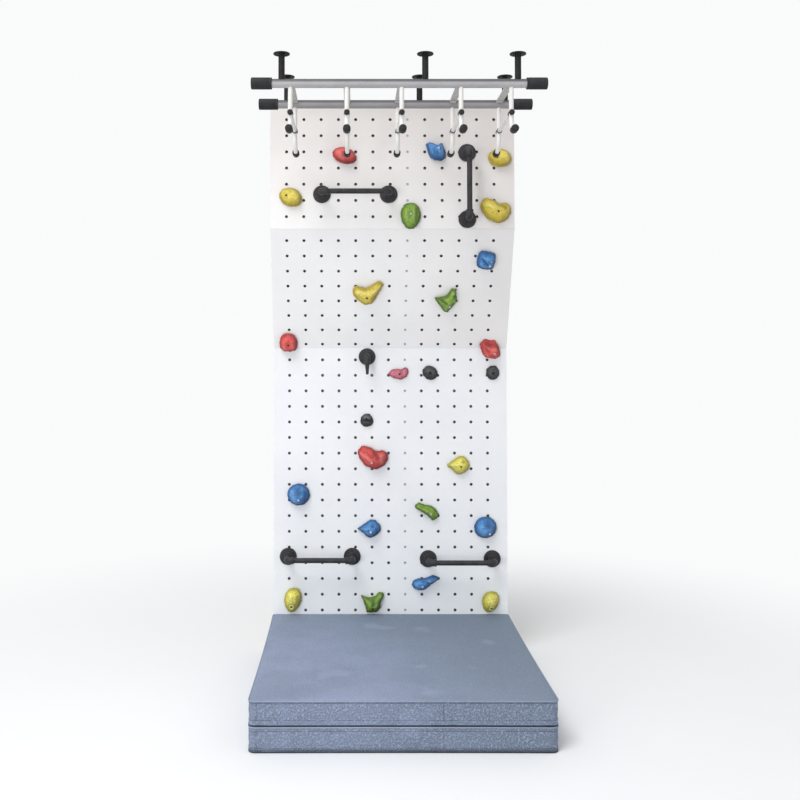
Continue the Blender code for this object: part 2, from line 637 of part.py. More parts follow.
def make_hanging_rungs(rail_cutters):
    """Rungs that hang under the rails: two legs with black grips and a hand rung between them."""
    legs = []
    for name, y, outward in (("front_leg", FRONT_RAIL_Y, -1), ("rear_leg", REAR_RAIL_Y, 1)):
        path, scales = leg_path(y, outward)
        legs.append(tube(name, path, LEG_RADIUS, PIPE_RESOLUTION, scales))
    cap = RUNG_CAP_RADIUS / RUNG_RADIUS
    height = RAIL_HEIGHT - RUNG_DROP
    front, rear = FRONT_RAIL_Y - RUNG_OVERHANG, REAR_RAIL_Y + RUNG_OVERHANG
    steps = ((front, cap), (front + RUNG_CAP_LENGTH, cap), (front + RUNG_CAP_LENGTH + FITTING_STEP, 1.0),
             (rear - RUNG_CAP_LENGTH - FITTING_STEP, 1.0), (rear - RUNG_CAP_LENGTH, cap), (rear, cap))
    path = [Vector((0.0, y, height)) for y, _ in steps]
    rung = tube("rung", path, RUNG_RADIUS, PIPE_RESOLUTION, [scale for _, scale in steps])
    unit = combine(combine(rung, legs, "UNION"), rail_cutters, "DIFFERENCE", keep_tools=True)
    for number, share in enumerate(RUNG_PLACES, start=1):
        place = Matrix.Translation((share * FREE_RAIL, 0.0, 0.0))
        add_piece(f"hanging_rung_{number}", unit.data.copy(), "white paint", place)
    bpy.data.objects.remove(unit, do_unlink=True)


def make_rail_ties(rail_cutters):
    """Flat bars that hold the two rails apart above each hanging rung."""
    middle = (FRONT_RAIL_Y + REAR_RAIL_Y) / 2
    for number, share in enumerate(RUNG_PLACES, start=1):
        place = Matrix.Translation((share * FREE_RAIL, middle, RAIL_HEIGHT + TIE_RISE))
        size = Matrix.Diagonal((TIE_WIDTH, RAIL_SPACING, TIE_THICKNESS, 1.0))
        form = bmesh.new()
        bmesh.ops.create_cube(form, size=1.0, matrix=size)
        mesh = bpy.data.meshes.new("tie")
        form.to_mesh(mesh)
        form.free()
        bar = add_object("tie", mesh, bpy.data.collections["cutters"])
        bar.matrix_world = place
        bar = combine(bar, rail_cutters, "DIFFERENCE", keep_tools=True)
        into_part(bar, f"rail_tie_{number}", "galvanised steel")


def mat_outline(inset):
    """Outline of a layer with rounded corners and its sides drawn in between them."""
    sizes = (MAT_WIDTH / 2 - inset, MAT_DEPTH / 2 - inset)
    points = []
    for side in range(4):
        turn = Matrix.Rotation(math.pi / 2 * side, 2)
        out, along = sizes[side % 2], sizes[1 - side % 2] - MAT_CORNER
        for step in range(MAT_SIDE_STEPS + 1):
            share = 2 * step / MAT_SIDE_STEPS - 1
            points.append(turn @ Vector((out - MAT_DRAW_IN * (1 - share * share), along * share)))
        diagonal = MAT_CORNER * (math.sqrt(0.5) - 1)
        points.append(turn @ Vector((out + diagonal, along + MAT_CORNER + diagonal)))
    return points


def make_mat_layer(name, crown, axis, base):
    """Padded layer with a flat back, a belly round its sides and a crown on top."""
    side = MAT_LAYER - crown
    section = [(inset, side * share) for inset, share in MAT_SIDE]
    section += [(inset, side + crown * share) for inset, share in MAT_TOP]
    rings = [[(*point, height) for point in mat_outline(inset)] for inset, height in section]
    layer = add_piece(name, loft(name, rings, (0.0, 0.0, MAT_LAYER)), "mat cover")
    layer.parent = axis
    layer.location = Vector((0.0, MAT_MIDDLE_Y, base)) - axis.matrix_world.translation


def make_mat():
    """Two loose layers, each with an empty on the line that it slides along."""
    home = bpy.data.collections["climbing_wall"]
    lower_axis = add_object("mat_lower_slide", None, home)
    lower_axis.location = (0.0, MAT_MIDDLE_Y, 0.0)
    upper_axis = add_object("mat_upper_slide", None, home)
    upper_axis.parent = lower_axis
    upper_axis.location = (0.0, 0.0, MAT_LAYER)
    bpy.context.view_layer.update()
    make_mat_layer("mat_lower", 0.0, lower_axis, 0.0)
    make_mat_layer("mat_upper", MAT_CROWN, upper_axis, MAT_LAYER + FIT_GAP)


def build():
    clear_objects()
    new_collection("climbing_wall")
    cutters = new_collection("cutters")
    for board in (LOWER, MIDDLE, UPPER):
        make_board(board)
    make_frames()
    for hold in HOLDS:
        make_hold(hold)
    make_bars()
    make_peg()
    make_rails()
    rail_cutters = make_rail_cutters()
    make_posts(rail_cutters)
    make_hanging_rungs(rail_cutters)
    make_rail_ties(rail_cutters)
    make_mat()
    for guide in cutters.objects:
        guide.hide_render = True
        guide.display_type = "WIRE"
    bpy.context.view_layer.update()


build()
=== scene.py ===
"""Looks of the indoor climbing wall: boards, frames, holds, grab bars, ceiling rack and landing mat."""
import math
from collections import namedtuple

import bpy
import numpy as np
from mathutils import Matrix, Vector
from mathutils.bvhtree import BVHTree
from mathutils.kdtree import KDTree


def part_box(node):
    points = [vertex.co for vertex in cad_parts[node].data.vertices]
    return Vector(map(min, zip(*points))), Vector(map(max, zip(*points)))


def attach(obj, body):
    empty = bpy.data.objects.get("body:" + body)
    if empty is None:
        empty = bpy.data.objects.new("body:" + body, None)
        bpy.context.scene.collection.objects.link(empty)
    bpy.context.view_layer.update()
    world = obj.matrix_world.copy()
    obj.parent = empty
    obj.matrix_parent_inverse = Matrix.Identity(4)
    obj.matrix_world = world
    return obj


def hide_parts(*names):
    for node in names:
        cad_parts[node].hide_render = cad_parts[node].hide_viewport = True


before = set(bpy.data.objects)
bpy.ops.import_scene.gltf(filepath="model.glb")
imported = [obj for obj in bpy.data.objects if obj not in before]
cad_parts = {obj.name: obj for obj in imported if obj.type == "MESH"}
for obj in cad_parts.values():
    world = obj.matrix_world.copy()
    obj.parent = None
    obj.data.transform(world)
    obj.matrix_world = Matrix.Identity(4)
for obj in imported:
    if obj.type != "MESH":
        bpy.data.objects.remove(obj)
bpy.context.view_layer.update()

FIT_GAP = 0.0003
TURN = math.tau
# Least share of a normal along Z on the flat faces of a board
FLAT = 0.98
# Direction across a hold in which its shade falls in the photograph
LEE_SIDE = np.array([0.86, -0.51])

# Boards and their grid of holes
BOARD_WIDTH = 1.200
BOARD_THICKNESS = 0.018
BOARD_EASE = 0.0008
PLY_LAYER = 0.0028
LEAN = math.radians(24.66)
HOLE_RADIUS = 0.006
HOLE_SIDES = 16
COLUMNS = 13
COLUMN_PITCH = 0.085
ROW_PITCH = 0.080
FIRST_COLUMN = -0.520
STUD_COLUMN = 7
FACE_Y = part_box("sheet_lower")[0].y
UPPER_FACE_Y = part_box("sheet_upper")[0].y
LOWER_LENGTH = 1.560
MIDDLE_LENGTH = 0.644
UPPER_LENGTH = 0.600
UPPER_FOOT = LOWER_LENGTH + MIDDLE_LENGTH * math.cos(LEAN)
BOARDS_TOP = UPPER_FOOT + UPPER_LENGTH

# Frames
STUD = 0.045
STUD_EASE = 0.0022

# Grab bars and peg
PIPE_RADIUS = 0.0130
FITTING_RADIUS = 0.0166
BEAD_RADIUS = 0.0182
FITTING_REACH = 0.034
BEND_RADIUS = 0.020
FLANGE_RADIUS = 0.0435
SCREW_CIRCLE = 0.0325
BAR_SPAN = 0.328
BAR_STANDOFF = 0.100
PEG_STANDOFF = 0.062
PEG_DROP = 0.090

# Rack
RAIL_HEIGHT = 2.672
CEILING = 2.800
RAIL_RADIUS = 0.019
FRONT_RAIL_Y, REAR_RAIL_Y = (sum(corner.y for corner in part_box(name)) / 2
                             for name in ("rail_front", "rail_rear"))
RAIL_ROWS = (("front", FRONT_RAIL_Y), ("rear", REAR_RAIL_Y))
SLEEVE_RADIUS = 0.025
SLEEVE_LENGTH = 0.0875
RAIL_HALF = 0.6232


# Hand tools

def deselect_all():
    if bpy.context.object and bpy.context.object.mode != "OBJECT":
        bpy.ops.object.mode_set(mode="OBJECT")
    bpy.ops.object.select_all(action="DESELECT")


def take(piece):
    """Makes a piece the only one selected, and the active one."""
    deselect_all()
    piece.select_set(True)
    bpy.context.view_layer.objects.active = piece
    return piece


def edit(piece, mode="FACE"):
    take(piece)
    bpy.ops.object.mode_set(mode="EDIT")
    bpy.ops.mesh.select_mode(type=mode)
    bpy.ops.mesh.select_all(action="SELECT")


def leave_edit():
    bpy.ops.object.mode_set(mode="OBJECT")


def link(name, data):
    piece = bpy.data.objects.new(name, data)
    bpy.context.scene.collection.objects.link(piece)
    return piece


def placed(piece):
    """Puts a new primitive's place, turn and size into its mesh."""
    take(piece)
    bpy.ops.object.transform_apply(location=True, rotation=True, scale=True)
    return piece


def drawn_line(name, points, closed=False):
    """Line drawn as by hand: one vertex, extruded from point to point."""
    deselect_all()
    points = [Vector(p) for p in points]
    bpy.ops.mesh.primitive_circle_add(vertices=3, radius=0.001, location=points[0])
    line = placed(bpy.context.object)
    edit(line, "VERT")
    bpy.ops.mesh.merge(type="CENTER")
    for before, after in zip(points, points[1:]):
        bpy.ops.mesh.extrude_region_move(TRANSFORM_OT_translate={"value": after - before})
    if closed:
        bpy.ops.mesh.select_all(action="SELECT")
        bpy.ops.mesh.edge_face_add()
    leave_edit()
    line.name = name
    line.data.name = name
    return line


def solid(name, kind, **settings):
    """Primitive that a cut or a form starts from, with its place in its mesh."""
    deselect_all()
    getattr(bpy.ops.mesh, f"primitive_{kind}_add")(**settings)
    piece = placed(bpy.context.object)
    piece.name = name
    return piece


def points_of(mesh, what="co"):
    values = np.empty(len(mesh.vertices) * 3, np.float32)
    if what == "co":
        mesh.vertices.foreach_get("co", values)
    else:
        mesh.vertex_normals.foreach_get("vector", values)
    return values.reshape(-1, 3).astype(float)


def set_points(mesh, points):
    mesh.vertices.foreach_set("co", np.ascontiguousarray(points, np.float32).ravel())
    mesh.update()


def moved(piece, matrix):
    """Puts a placement into the mesh, so that the object stays at the origin."""
    piece.data.transform(matrix)
    piece.data.update()
    return piece


def copied(piece, name, matrix=None):
    copy = link(name, piece.data.copy())
    copy.data.name = name
    if matrix is not None:
        moved(copy, matrix)
    return copy


def joined(name, pieces):
    deselect_all()
    for piece in pieces:
        piece.select_set(True)
    bpy.context.view_layer.objects.active = pieces[0]
    if len(pieces) > 1:
        bpy.ops.object.join()
    pieces[0].name = name
    pieces[0].data.name = name
    return pieces[0]


def drop(*pieces):
    for piece in pieces:
        bpy.data.objects.remove(piece, do_unlink=True)


def modify(piece, kind, **settings):
    """Adds a modifier and applies it at once."""
    take(piece)
    bpy.ops.object.modifier_add(type=kind)
    modifier = piece.modifiers[-1]
    for key, value in settings.items():
        setattr(modifier, key, value)
    bpy.ops.object.modifier_apply(modifier=modifier.name)
    return piece


def cut(piece, cutter, solver="EXACT", **settings):
    """Takes the form of the cutter away from a piece."""
    return modify(piece, "BOOLEAN", object=cutter, operation="DIFFERENCE", solver=solver, **settings)


def smooth(piece, degrees=35):
    take(piece)
    bpy.ops.object.shade_smooth_by_angle(angle=math.radians(degrees))
    return piece


def clean(piece):
    edit(piece)
    bpy.ops.mesh.remove_doubles(threshold=2e-5)
    bpy.ops.mesh.normals_make_consistent(inside=False)
    leave_edit()
    return piece


def bevelled(piece, width, segments=2, degrees=30):
    return modify(piece, "BEVEL", width=width, segments=segments, limit_method="ANGLE",
                  angle_limit=math.radians(degrees), use_clamp_overlap=True)


def turned(name, profile, sides, closed=False):
    """Piece turned about Z from a drawn profile of (radius, height) points."""
    steps = list(profile) + ([profile[0]] if closed else [])
    piece = drawn_line(name, [(r, 0.0, z) for r, z in steps])
    edit(piece, "VERT")
    bpy.ops.mesh.spin(steps=sides, angle=TURN, center=(0, 0, 0), axis=(0, 0, 1))
    leave_edit()
    return clean(piece)


def pipe(name, path, radius, scales=None, resolution=7, closed=False, caps=True):
    """Round tube along a path."""
    curve = bpy.data.curves.new(name, "CURVE")
    curve.dimensions = "3D"
    curve.bevel_depth = radius
    curve.bevel_resolution = resolution
    curve.use_fill_caps = caps
    spline = curve.splines.new("POLY")
    spline.points.add(len(path) - 1)
    for i, point in enumerate(path):
        spline.points[i].co = (*point, 1.0)
        spline.points[i].radius = scales[i] if scales else 1.0
    spline.use_cyclic_u = closed
    piece = take(link(name, curve))
    bpy.ops.object.convert(target="MESH")
    return clean(piece)


def arc(corner, arrive, leave, radius, steps):
    """Points round a bend at a corner, from the side it arrives from to the side it leaves to."""
    corner, arrive, leave = Vector(corner), Vector(arrive), Vector(leave)
    middle = corner + (arrive + leave) * radius
    turns = [math.pi / 2 * i / steps for i in range(steps + 1)]
    return [middle - radius * (leave * math.cos(a) + arrive * math.sin(a)) for a in turns]


def note(piece, name, values):
    """Keeps a value or a place for each point as an attribute that the material reads."""
    values = np.array(values, np.float32)
    kind, label = ("FLOAT", "value") if values.ndim == 1 else ("FLOAT_VECTOR", "vector")
    piece.data.attributes.new(name, kind, "POINT").data.foreach_set(label, values.ravel())


def finish_piece(piece, material, body, slot, *nodes):
    """Gives a finished piece its material and its body, and hides the CAD nodes that it stands for. Its slot
    is not used.
    """
    piece.data.materials.clear()
    piece.data.materials.append(material)
    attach(piece, body)
    if nodes:
        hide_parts(*nodes)
    return piece


# Materials

class Nodes:
    """Nodes of a material or an effect, with short ways to make them."""

    def __init__(self, tree):
        self.tree = tree

    def feed(self, made, inputs):
        """Links each input that is given a socket, and sets the others."""
        for key, value in inputs.items():
            socket = made.inputs[key]
            if isinstance(value, bpy.types.NodeSocket):
                self.tree.links.new(value, socket)
            elif socket.type == "RGBA":
                socket.default_value = (*value[:3], 1.0)
            else:
                socket.default_value = value

    def add(self, kind, inputs=None, **settings):
        made = self.tree.nodes.new("ShaderNode" + kind)
        for key, value in settings.items():
            setattr(made, key, value)
        self.feed(made, inputs or {})
        return made

    def maths(self, operation, *values):
        return self.add("Math", dict(enumerate(values)), operation=operation).outputs[0]

    def times(self, first, second):
        return self.maths("MULTIPLY", first, second)

    def mixed(self, share, first, second, blend="MIX"):
        made = self.add("Mix", {0: share, 6: first, 7: second}, data_type="RGBA", blend_type=blend)
        return made.outputs[2]

    def between(self, share, first, second):
        return self.add("Mix", {0: share, 2: first, 3: second}, data_type="FLOAT").outputs[0]

    def eased(self, value, low, high, to_low=0.0, to_high=1.0):
        """Value taken softly from the range low to high to another range, 0 to 1 as a rule."""
        return self.add("MapRange", {0: value, 1: low, 2: high, 3: to_low, 4: to_high},
                        interpolation_type="SMOOTHSTEP").outputs[0]

    def noise(self, vector, scale, detail=2.0, roughness=0.5, output=0):
        return self.add("TexNoise", {"Vector": vector, "Scale": scale, "Detail": detail,
                                     "Roughness": roughness}).outputs[output]

    def scaled(self, vector, *scale):
        return self.add("Mapping", {"Vector": vector, "Scale": scale}).outputs[0]

    def apart(self, vector):
        """The X, Y and Z of a vector."""
        return self.add("SeparateXYZ", {0: vector}).outputs

    def attribute(self, name, output="Fac"):
        return self.add("Attribute", attribute_name=name).outputs[output]

    def effect(self, effect, **inputs):
        """Outputs of an effect, placed with its own values."""
        return self.add("Group", inputs, node_tree=effect).outputs


class Finish(Nodes):
    """Material with one Principled shader, whose patterns lie in object coordinates."""

    def __init__(self, name, roughness, metallic=0.0, **sockets):
        self.material = bpy.data.materials.new(name)
        self.material.use_nodes = True
        super().__init__(self.material.node_tree)
        self.shader = self.tree.nodes["Principled BSDF"]
        self.paint(Roughness=roughness, Metallic=metallic, **sockets)
        self.place = self.add("TexCoord").outputs["Object"]

    def paint(self, **sockets):
        """Sets or links sockets of the shader."""
        self.feed(self.shader, {label.replace("_", " "): value for label, value in sockets.items()})

    def uneven(self, colour, other, scale, amount, specks=0.0):
        """Cloudy colour, and the cloud that it follows."""
        return self.effect(UNEVEN, Vector=self.place, Colour=colour, Other=other, Scale=scale,
                           Amount=amount, Specks=specks)

    def scuffed(self, scale, amount):
        return self.effect(SCUFFS, Vector=self.place, Scale=scale, Amount=amount)[0]

    def grit(self, lumps, grit, share):
        return self.effect(GRIT, Vector=self.place, Lumps=lumps, Grit=grit, Share=share)[0]

    def bump(self, height, distance):
        made = self.add("Bump", {"Height": height, "Distance": distance, "Strength": 1.0})
        self.paint(Normal=made.outputs[0])
        return self.material


def effect_group(name, inputs, outputs):
    """Empty node group. An input has a start value, or None where it is a place; an output has its kind."""
    tree = bpy.data.node_groups.new(name, "ShaderNodeTree")
    kinds = {type(None): "Vector", tuple: "Color", float: "Float"}
    for label, value in inputs.items():
        socket = tree.interface.new_socket(label, in_out="INPUT",
                                           socket_type="NodeSocket" + kinds[type(value)])
        if value is not None:
            socket.default_value = value
    for label, kind in outputs.items():
        tree.interface.new_socket(label, in_out="OUTPUT", socket_type="NodeSocket" + kind)
    return Nodes(tree), tree.nodes.new("NodeGroupInput").outputs, tree.nodes.new("NodeGroupOutput")


def make_uneven_effect():
    """Cloudy change from one colour to another, with small specks in it."""
    nodes, given, out = effect_group(
        "uneven colour",
        {"Vector": None, "Colour": (1, 1, 1, 1), "Other": (0, 0, 0, 1), "Scale": 10.0, "Amount": 0.5,
         "Specks": 0.0},
        {"Colour": "Color", "Cloud": "Float"})
    cloud = nodes.noise(given["Vector"], given["Scale"], 5.0, 0.6)
    share = nodes.times(nodes.eased(cloud, 0.34, 0.66), given["Amount"])
    colour = nodes.mixed(share, given["Colour"], given["Other"])
    specks = nodes.noise(given["Vector"], nodes.times(given["Scale"], 22.0))
    dots = nodes.times(nodes.eased(specks, 0.60, 0.72), given["Specks"])
    nodes.feed(out, {"Colour": nodes.mixed(dots, colour, given["Other"]), "Cloud": cloud})
    return nodes.tree


def make_grit_effect():
    """Height of a cast or sprayed surface: low lumps with fine grit on them."""
    nodes, given, out = effect_group("grit", {"Vector": None, "Lumps": 60.0, "Grit": 700.0, "Share": 0.5},
                                     {"Height": "Float"})
    lumps = nodes.noise(given["Vector"], given["Lumps"], 3.0)
    grit = nodes.noise(given["Vector"], given["Grit"], 2.0, 0.7)
    nodes.feed(out, {"Height": nodes.between(given["Share"], lumps, grit)})
    return nodes.tree


def make_scuff_effect():
    """Mask of short scratches and rubbed places."""
    nodes, given, out = effect_group("scuffs", {"Vector": None, "Scale": 30.0, "Amount": 0.5},
                                     {"Mask": "Float"})
    bend = nodes.noise(given["Vector"], 6.0, output=1)
    bent = nodes.add("VectorMath", {0: given["Vector"], 1: bend}, operation="ADD").outputs[0]
    streaks = nodes.noise(nodes.scaled(bent, 1.0, 1.0, 0.16), given["Scale"], 6.0, 0.75)
    patch = nodes.noise(given["Vector"], 5.0)
    mask = nodes.times(nodes.eased(streaks, 0.58, 0.70), nodes.eased(patch, 0.45, 0.65))
    nodes.feed(out, {"Mask": nodes.times(mask, given["Amount"])})
    return nodes.tree


def make_grain_effect():
    """Wood grain along X of its vector: long rings, pores and a slow change of tone."""
    nodes, given, out = effect_group(
        "timber grain", {"Vector": None, "Pale": (1, 1, 1, 1), "Dark": (0, 0, 0, 1)},
        {"Colour": "Color", "Height": "Float"})
    wander = nodes.noise(nodes.scaled(given["Vector"], 0.6, 9.0, 9.0), 1.6, 3.0, output=1)
    lines = nodes.scaled(given["Vector"], 1.2, 60.0, 60.0)
    bent = nodes.add("VectorMath", {0: lines, 1: wander}, operation="ADD").outputs[0]
    rings = nodes.noise(bent, 3.0, 4.0, 0.65)
    pores = nodes.noise(nodes.scaled(given["Vector"], 14.0, 420.0, 420.0), 2.0)
    tone = nodes.maths("ADD", nodes.times(nodes.eased(rings, 0.35, 0.68), 0.65),
                       nodes.times(nodes.eased(pores, 0.55, 0.72), 0.35))
    nodes.feed(out, {"Colour": nodes.mixed(tone, given["Pale"], given["Dark"]),
                     "Height": nodes.maths("SUBTRACT", 1.0, tone)})
    return nodes.tree


UNEVEN = make_uneven_effect()
GRIT = make_grit_effect()
SCUFFS = make_scuff_effect()
GRAIN = make_grain_effect()


def shade(colour, scale):
    return tuple(min(1.0, part * scale) for part in colour)


def coated(name, colour, other, roughness, metallic=0.0, cloud=14.0, amount=0.5, specks=0.2, lumps=60.0,
           grit=700.0, share=0.5, depth=0.0004, scuffs=0.0, scuff_colour=None, spread=0.10, **sockets):
    """Cast, sprayed or moulded finish with uneven colour, grit, scuffs and a roughness that follows them."""
    coat = Finish(name, roughness, metallic, **sockets)
    tone, clouds = coat.uneven(colour, other, cloud, amount, specks)
    rough = coat.eased(clouds, 0.3, 0.7, roughness - spread, roughness + spread)
    if scuffs:
        tone = coat.mixed(coat.scuffed(40.0, scuffs), tone, scuff_colour)
    coat.paint(Base_Color=tone, Roughness=rough)
    return coat.bump(coat.grit(lumps, grit, share), depth)


def make_rail_zinc():
    """Satin zinc, with painted shade along the tops of the rails and over the rear one."""
    zinc = Finish("satin zinc", 0.5, metallic=0.1, Specular_IOR_Level=0.3)
    tone, clouds = zinc.uneven((0.40, 0.392, 0.402), (0.345, 0.338, 0.348), 9.0, 0.7, 0.08)
    _, y, z = zinc.apart(zinc.place)
    top = zinc.eased(z, RAIL_HEIGHT - 0.003, RAIL_HEIGHT + 0.008)
    rear = zinc.eased(y, FRONT_RAIL_Y + 0.10, REAR_RAIL_Y - 0.10)
    rubbed = zinc.mixed(zinc.scuffed(40.0, 0.10), tone, (0.27, 0.265, 0.272))
    shaded = zinc.mixed(zinc.times(rear, 0.5), rubbed, (0.16, 0.155, 0.16))
    # Painted shade along the top of each rail.
    top_shaded = zinc.mixed(zinc.times(top, 0.92), shaded, (0.078, 0.076, 0.083))
    zinc.paint(Base_Color=top_shaded, Roughness=zinc.eased(clouds, 0.3, 0.7, 0.42, 0.60))
    return zinc.bump(zinc.grit(40.0, 900.0, 0.3), 0.00012)


def board_painted_light(coat):
    """Slow changes of the white, all painted light and shade: bluish bounce light and shade low down, shade
    that warms and deepens to the right, and shade on the upper board under the rack.
    """
    x, _, z = coat.apart(coat.place)
    # Painted shade and bluish bounce light from the mat, low on the lower board.
    cool_bounce = coat.mixed(coat.eased(z, 0.80, 0.25), (0.912, 0.920, 0.930), (0.975, 1.0, 1.0))
    # Painted shade, warmer and deeper to the right, on the middle and upper boards.
    wear_and_shade = coat.mixed(coat.eased(x, -0.15, 0.62), (0.967, 0.958, 0.943), (0.900, 0.874, 0.852))
    # Painted shade on the upper board under the rack, deeper to the right.
    rack_shade = coat.mixed(coat.eased(x, -0.60, 0.60), (0.774, 0.733, 0.696), (0.700, 0.655, 0.620))
    sheet = coat.mixed(coat.eased(z, LOWER_LENGTH + 0.005, LOWER_LENGTH - 0.005), wear_and_shade, cool_bounce)
    return coat.mixed(coat.eased(z, 1.95, 2.75), sheet, rack_shade)


def hole_shade_ring(coat, x, y):
    """Mask of a painted shade ring round each hole, faint in the column before the stud."""
    across = coat.maths("PINGPONG", x, COLUMN_PITCH / 2)
    upward = coat.maths("PINGPONG", y, ROW_PITCH / 2)
    from_hole = coat.maths("SQRT", coat.maths("MULTIPLY_ADD", across, across, coat.times(upward, upward)))
    ring = coat.eased(from_hole, HOLE_RADIUS + 0.0021, HOLE_RADIUS + 0.0008)
    on_stud = coat.maths("COMPARE", x, COLUMN_PITCH * STUD_COLUMN, 0.03)
    ring = coat.times(ring, coat.maths("SUBTRACT", 1.0, coat.times(on_stud, 0.9)))
    drilled = coat.maths("COMPARE", x, COLUMN_PITCH * (COLUMNS - 1) / 2, COLUMN_PITCH * COLUMNS / 2)
    return coat.times(ring, drilled)


def make_board_paint():
    """White coat on the front of a ply board, with painted light and shade over it and a painted shade ring
    round each hole; the edges and the back are bare ply.
    """
    coat = Finish("white board coat", 0.5, IOR=1.45)
    local = coat.attribute("board", "Vector")
    x, y, z = coat.apart(local)
    white = coat.uneven((0.830, 0.830, 0.840), (0.776, 0.778, 0.796), 3.2, 0.6, 0.05)[0]
    tinted = coat.mixed(1.0, white, board_painted_light(coat), "MULTIPLY")
    front = coat.mixed(coat.scuffed(26.0, 0.28), tinted, (0.60, 0.59, 0.60))
    ply, grain = coat.effect(GRAIN, Vector=local, Pale=(0.66, 0.52, 0.36), Dark=(0.46, 0.32, 0.19))
    layers = coat.maths("PINGPONG", coat.times(z, 1 / PLY_LAYER), 1.0)
    edge = coat.mixed(coat.times(coat.eased(layers, 0.40, 0.60), 0.55), ply, (0.33, 0.21, 0.12))
    bare = coat.mixed(coat.eased(z, 0.0006 - BOARD_THICKNESS, 0.0004 - BOARD_THICKNESS), edge, ply)
    rim = coat.eased(z, -0.0011, -0.0004)
    # Near-black painted shade round each hole.
    hole_shade = coat.times(hole_shade_ring(coat, x, y), 0.94)
    coat.paint(Base_Color=coat.mixed(hole_shade, coat.mixed(rim, bare, front), (0.012, 0.012, 0.014)),
               Roughness=coat.maths("MULTIPLY_ADD", rim, -0.28, 0.74))
    return coat.bump(coat.between(rim, grain, coat.grit(90.0, 500.0, 0.3)), 0.00035)


def make_insert_steel():
    """Zinc on the outside of an insert, painted shade in its barrel."""
    steel = Finish("insert zinc", 0.45, metallic=0.6)
    inside = steel.attribute("inside")
    zinc, clouds = steel.uneven((0.42, 0.42, 0.43), (0.25, 0.25, 0.26), 120.0, 0.6, 0.2)
    # Painted shade: the barrel's inside is near black and not metallic.
    steel.paint(Base_Color=steel.mixed(inside, zinc, (0.008, 0.008, 0.009)),
                Roughness=steel.eased(clouds, 0.3, 0.7, 0.40, 0.62),
                Metallic=steel.maths("SUBTRACT", 0.6, steel.times(inside, 0.6)))
    return steel.material


def make_timber():
    """Planed softwood, with its grain along the first part of the stud's own coordinates."""
    timber = Finish("planed timber", 0.68)
    wood, grain = timber.effect(GRAIN, Vector=timber.attribute("along", "Vector"), Pale=(0.66, 0.50, 0.32),
                                Dark=(0.42, 0.26, 0.13))
    stain = timber.uneven((1.0, 1.0, 1.0), (0.8, 0.76, 0.7), 5.0, 0.6)[0]
    timber.paint(Base_Color=timber.mixed(1.0, wood, stain, "MULTIPLY"),
                 Roughness=timber.eased(grain, 0.0, 1.0, 0.78, 0.58))
    return timber.bump(grain, 0.0004)


def make_resin(name, colour, dark, pale):
    """Gritty cast resin with chalk on its tops, painted shade at its foot, on its rim and in its hollows, and
    a painted highlight where it stands proud.
    """
    resin = Finish(name + " resin", 0.5, Specular_IOR_Level=0.5)
    tone = resin.uneven(colour, dark, 30.0, 0.30, 0.45)[0]
    rise, hollow, proud, edge = (resin.attribute(mark) for mark in ("rise", "hollow", "proud", "edge"))
    dust = resin.noise(resin.place, 60.0, 6.0, 0.7)
    chalk = resin.times(resin.eased(dust, 0.46, 0.70), resin.eased(rise, 0.55, 1.0))
    # Chalk on the tops, and a painted highlight where the hold stands proud.
    pale_share = resin.maths("MAXIMUM", resin.times(chalk, 0.50), resin.times(proud, 0.75))
    chalk_and_highlight = resin.mixed(pale_share, tone, pale)
    mottle = resin.noise(resin.place, 115.0, 2.0, 0.6)
    low = resin.times(resin.eased(mottle, 0.53, 0.64), 0.46)
    # Painted shade at the hold's foot, next to the board.
    foot = resin.eased(rise, 0.36, 0.05, 0.0, 0.65)
    # Painted shade on the rim and in the hollows, joined to the random dark mottle.
    for mask in (foot, resin.times(edge, 0.80), resin.times(hollow, 0.85)):
        low = resin.maths("MAXIMUM", low, mask)
    resin.paint(Base_Color=resin.mixed(low, chalk_and_highlight, shade(dark, 0.8)),
                Roughness=resin.eased(dust, 0.3, 0.7, 0.38, 0.60))
    return resin.bump(resin.grit(190.0, 900.0, 0.35), 0.0018)


